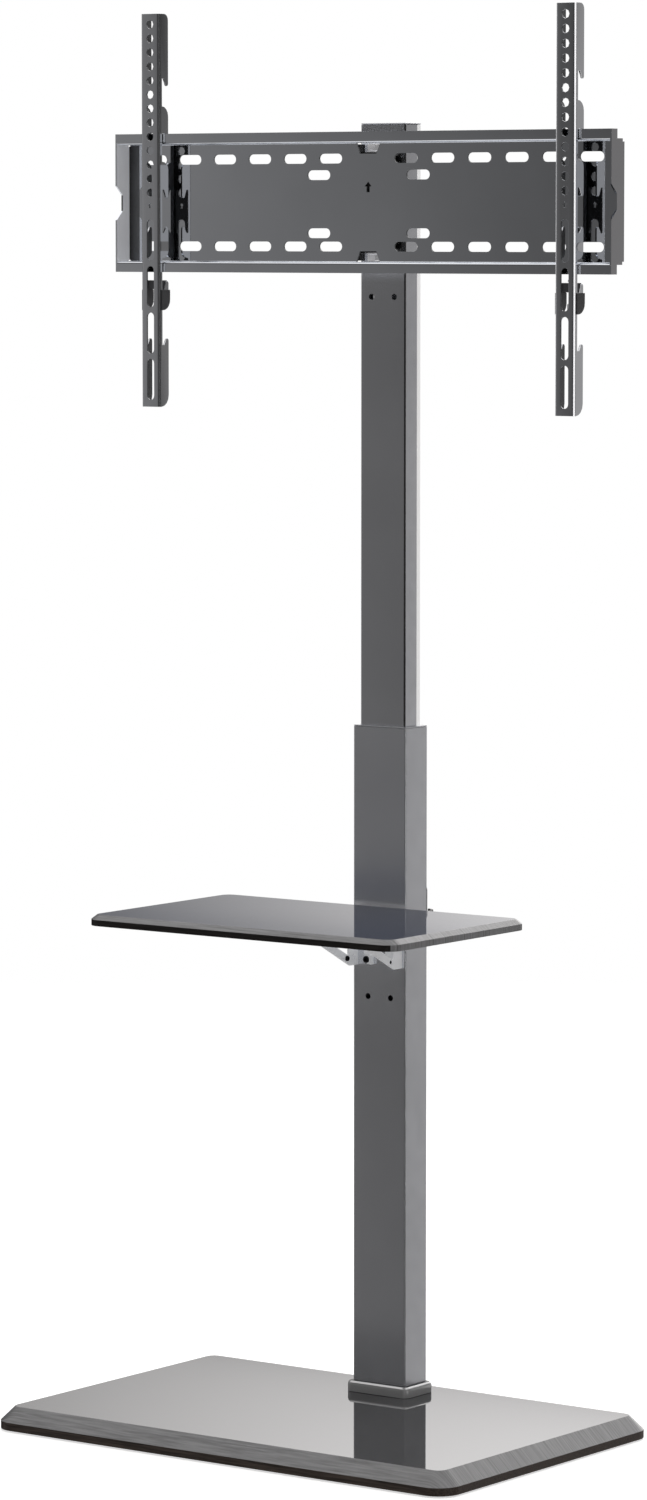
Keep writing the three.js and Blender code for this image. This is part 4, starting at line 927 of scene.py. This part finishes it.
class STAND_OT_arms(Operator):
    """Dress the two arms and their lock saddles"""
    bl_idname = "stand.arms"
    bl_label = "Arms"

    def execute(self, context):
        sizes = context.scene.stand_mount
        saddle = moulded_material("Saddle plastic", context.scene.stand_column.saddle_colour, roughness=0.35,
                                  texture=0.05)
        front = paint_material("Arm paint", sizes.arm_colour, sizes.arm_roughness, metallic=1.0)
        outer_side = paint_material("Arm side shade", sizes.arm_side_shade_colour, sizes.arm_roughness,
                                    metallic=1.0)
        # The right arm's long bends glow as a painted highlight; the left arm's take the dark grey painted
        # shade
        painted_bend_highlight = paint_material("Painted bend highlight", sizes.chrome_colour, roughness=0.4, glow=sizes.bend_highlight_glow)
        for side, bend in zip(SIDES, (hole_shade_paint(), painted_bend_highlight)):
            make_arm(f"arm_{side}", sizes, [front, black_and_shade_paint(), outer_side, hole_shade_paint(), bend])
            make_rounded(f"lock_saddle_{side}", sizes.saddle_rounding, saddle)
        return {"FINISHED"}


def make_arm(node, sizes, paints):
    """An upright channel with paints for its front, back, outer sides, holes and long bends; the back, outer
    sides and holes take painted shade, and the bends take what they are given, painted shade or a painted
    highlight.
    """
    low, high = node_box(node)
    middle = (low.x + high.x) / 2
    front, back, outer_side, hole, bend = range(5)
    least, most = 0.55, 0.95
    front_sheet = low.y + HOLE_REACH * sizes.sheet

    def pick(face):
        place = face.calc_center_median()
        inset = min(place.x - low.x, high.x - place.x)
        sideways = abs(face.normal.x)
        # Backward faces inside the arm take near-black painted shade
        if face.normal.y > FACING:
            return back
        # Hole walls in the arm's front sheet take the dark grey painted shade
        if inset > 2 * sizes.sheet and abs(face.normal.y) < EDGE_ON and place.y < front_sheet:
            return hole
        # Facets of the long front bends take the bend paint: painted shade or a painted highlight
        if inset < 1.5 * sizes.sheet and least < sideways < most and face.normal.y < -EDGE_ON:
            return bend
        # Outer sides take the darker copy of the arm paint, painted shade; inner sides take the dark grey
        # painted shade
        if sideways > FACING:
            return outer_side if face.normal.x * (place.x - middle) > 0 else hole
        return front

    keep_piece(node, rounded_copy(node, sizes.edge_rounding), paints, pick)


class STAND_OT_safety_screws(Operator):
    """Make the knurled safety screws"""
    bl_idname = "stand.safety_screws"
    bl_label = "Safety screws"

    def execute(self, context):
        sizes = context.scene.stand_mount
        for side in SIDES:
            make_safety_screw(f"safety_screw_{side}", sizes.knurls)
        return {"FINISHED"}


def make_safety_screw(node, knurls):
    """A thumb screw with a knurled head below, a plain shank and a domed tip."""
    low, high = node_box(node)
    middle = centre_of(node)
    head = (high.x - low.x) / 2
    whole = high.z - low.z
    head_height = 2 * head
    chamfer = head / 5
    hub = 0.35 * head
    ridge = 0.3 * MM
    shank = 2.8 * MM
    tip = 4 * MM
    tip_height = 3.2 * MM
    tip_shares = ((1.0, 1.0), (1.0, 1 / 2), (0.86, 1 / 4), (0.5, 1 / 16), (0.12, 0.0))
    rings = [
        (round_ring(hub), 0.0), (round_ring(head - chamfer), 0.0),
        (knurled_ring(head, ridge, knurls), chamfer),
        (knurled_ring(head, ridge, knurls), head_height - chamfer),
        (round_ring(head - chamfer), head_height), (round_ring(shank), head_height),
        (round_ring(shank), whole - tip_height),
        *((round_ring(tip * reach), whole - tip_height * drop) for reach, drop in tip_shares),
    ]
    bm = stacked_rings(rings, STEPS_PER_KNURL * knurls, (middle.x, middle.y, low.z), UP)
    return keep_piece(node, bm, [chrome()])


class STAND_OT_stage(Operator):
    """Set the floor, the lights and the camera"""
    bl_idname = "stand.stage"
    bl_label = "Stage"

    def execute(self, context):
        sizes = context.scene.stand_stage
        make_floor(sizes)
        make_surround(sizes)
        make_camera(sizes)
        context.scene.view_settings.view_transform = "Standard"
        return {"FINISHED"}


def make_floor(sizes):
    """A pale round floor that fades into the surround."""
    bm = bmesh.new()
    bmesh.ops.create_circle(bm, cap_ends=True, segments=FLOOR_STEPS, radius=sizes.floor_radius)
    mesh = bpy.data.meshes.new("floor")
    bm.to_mesh(mesh)
    bm.free()
    made = Recipe("Pale floor")
    cloud = made.noise(scale=3.0, detail=4.0)
    made.colour(made.mixed(made.spread(cloud, low=0.0, high=1.0), toned(sizes.floor_colour, 0.995),
                           sizes.floor_colour))
    made.set(Roughness=0.9, Specular_IOR_Level=0.1)
    distance = made.node("ShaderNodeVectorMath", operation="LENGTH")
    made.link(made.place, distance.inputs[0])
    fade = made.spread(distance.outputs["Value"], low=1.0, high=0.0,
                       start=sizes.fade_start * sizes.floor_radius, stop=sizes.fade_end * sizes.floor_radius)
    seen = made.node("ShaderNodeMath", operation="MULTIPLY")
    made.link(fade, seen.inputs[0])
    made.link(made.node("ShaderNodeLightPath").outputs["Is Camera Ray"], seen.inputs[1])
    made.link(seen.outputs["Value"], made.shader.inputs["Alpha"])
    made.set(Emission_Color=(1.0, 1.0, 1.0, 1.0), Emission_Strength=sizes.floor_glow)
    mesh.materials.append(made.material)
    floor = bpy.data.objects.new("floor", mesh)
    bpy.context.scene.collection.objects.link(floor)


def direction(turn, rise):
    """A unit vector from a turn away from +Y toward +X and a rise, both in degrees."""
    turn = math.radians(turn)
    rise = math.radians(rise)
    return (math.sin(turn) * math.cos(rise), math.cos(turn) * math.cos(rise), math.sin(rise))


def make_surround(sizes):
    """White behind the object, and soft patches of light round it that only the object sees."""
    world = bpy.data.worlds.new("Studio")
    bpy.context.scene.world = world
    world.use_nodes = True
    tree = world.node_tree
    tree.nodes.clear()
    output = tree.nodes.new("ShaderNodeOutputWorld")
    mix = tree.nodes.new("ShaderNodeMixShader")
    glow = tree.nodes.new("ShaderNodeBackground")
    white = tree.nodes.new("ShaderNodeBackground")
    path = tree.nodes.new("ShaderNodeLightPath")
    place = tree.nodes.new("ShaderNodeTexCoord")
    total = tree.nodes.new("ShaderNodeValue").outputs["Value"]
    total.default_value = sizes.surround_level
    for setting, (turn, rise, full, gone) in GLOW_DEGREES.items():
        facing = tree.nodes.new("ShaderNodeVectorMath")
        facing.operation = "DOT_PRODUCT"
        facing.inputs[1].default_value = direction(turn, rise)
        patch = tree.nodes.new("ShaderNodeMapRange")
        patch.interpolation_type = "SMOOTHSTEP"
        patch.inputs["From Min"].default_value = math.cos(math.radians(gone))
        patch.inputs["From Max"].default_value = math.cos(math.radians(full))
        patch.inputs["To Max"].default_value = getattr(sizes, setting)
        added = tree.nodes.new("ShaderNodeMath")
        added.operation = "ADD"
        tree.links.new(place.outputs["Generated"], facing.inputs[0])
        tree.links.new(facing.outputs["Value"], patch.inputs["Value"])
        tree.links.new(total, added.inputs[0])
        tree.links.new(patch.outputs["Result"], added.inputs[1])
        total = added.outputs["Value"]
    glow.inputs["Color"].default_value = (*sizes.surround, 1.0)
    white.inputs["Color"].default_value = (1.0, 1.0, 1.0, 1.0)
    tree.links.new(total, glow.inputs["Strength"])
    tree.links.new(path.outputs["Is Camera Ray"], mix.inputs["Fac"])
    tree.links.new(glow.outputs["Background"], mix.inputs[1])
    tree.links.new(white.outputs["Background"], mix.inputs[2])
    tree.links.new(mix.outputs["Shader"], output.inputs["Surface"])


def make_camera(sizes):
    data = bpy.data.cameras.new("photo_camera")
    data.sensor_width = FILM_WIDTH
    data.lens = sizes.focal_length
    data.clip_end = SIGHT
    camera = bpy.data.objects.new("photo_camera", data)
    camera.location = sizes.camera_place
    camera.rotation_euler = (math.pi / 2 - sizes.camera_tilt, 0.0, sizes.camera_turn)
    bpy.context.scene.collection.objects.link(camera)
    bpy.context.scene.camera = camera


PIECE_OPERATORS = (
    STAND_OT_base_board,
    STAND_OT_base_fittings,
    STAND_OT_column,
    STAND_OT_column_plugs,
    STAND_OT_height_locks,
    STAND_OT_cable_clip,
    STAND_OT_shelf,
    STAND_OT_swivel,
    STAND_OT_wall_plate,
    STAND_OT_arms,
    STAND_OT_safety_screws,
    STAND_OT_stage,
)


class STAND_PT_sidebar(Panel):
    """Lists the stand's pieces and their settings"""
    bl_idname = "STAND_PT_sidebar"
    bl_label = "Television stand"
    bl_space_type = "VIEW_3D"
    bl_region_type = "UI"
    bl_category = "Stand"

    def draw(self, context):
        layout = self.layout
        for operator in PIECE_OPERATORS:
            layout.operator(operator.bl_idname)
        for name, group in SETTINGS.items():
            box = layout.box()
            for setting in group.__annotations__:
                box.prop(getattr(context.scene, name), setting)


CLASSES = (*SETTINGS.values(), *PIECE_OPERATORS, STAND_PT_sidebar)


def register():
    for item in CLASSES:
        bpy.utils.register_class(item)
    for name, group in SETTINGS.items():
        setattr(bpy.types.Scene, name, PointerProperty(type=group))


def unregister():
    for name in SETTINGS:
        delattr(bpy.types.Scene, name)
    for item in reversed(CLASSES):
        bpy.utils.unregister_class(item)


def run(operator):
    """Calls an operator by the name that it is registered under."""
    group, name = operator.bl_idname.split(".")
    getattr(getattr(bpy.ops, group), name)()


def main():
    register()
    for operator in PIECE_OPERATORS:
        run(operator)


if __name__ == "__main__":
    main()
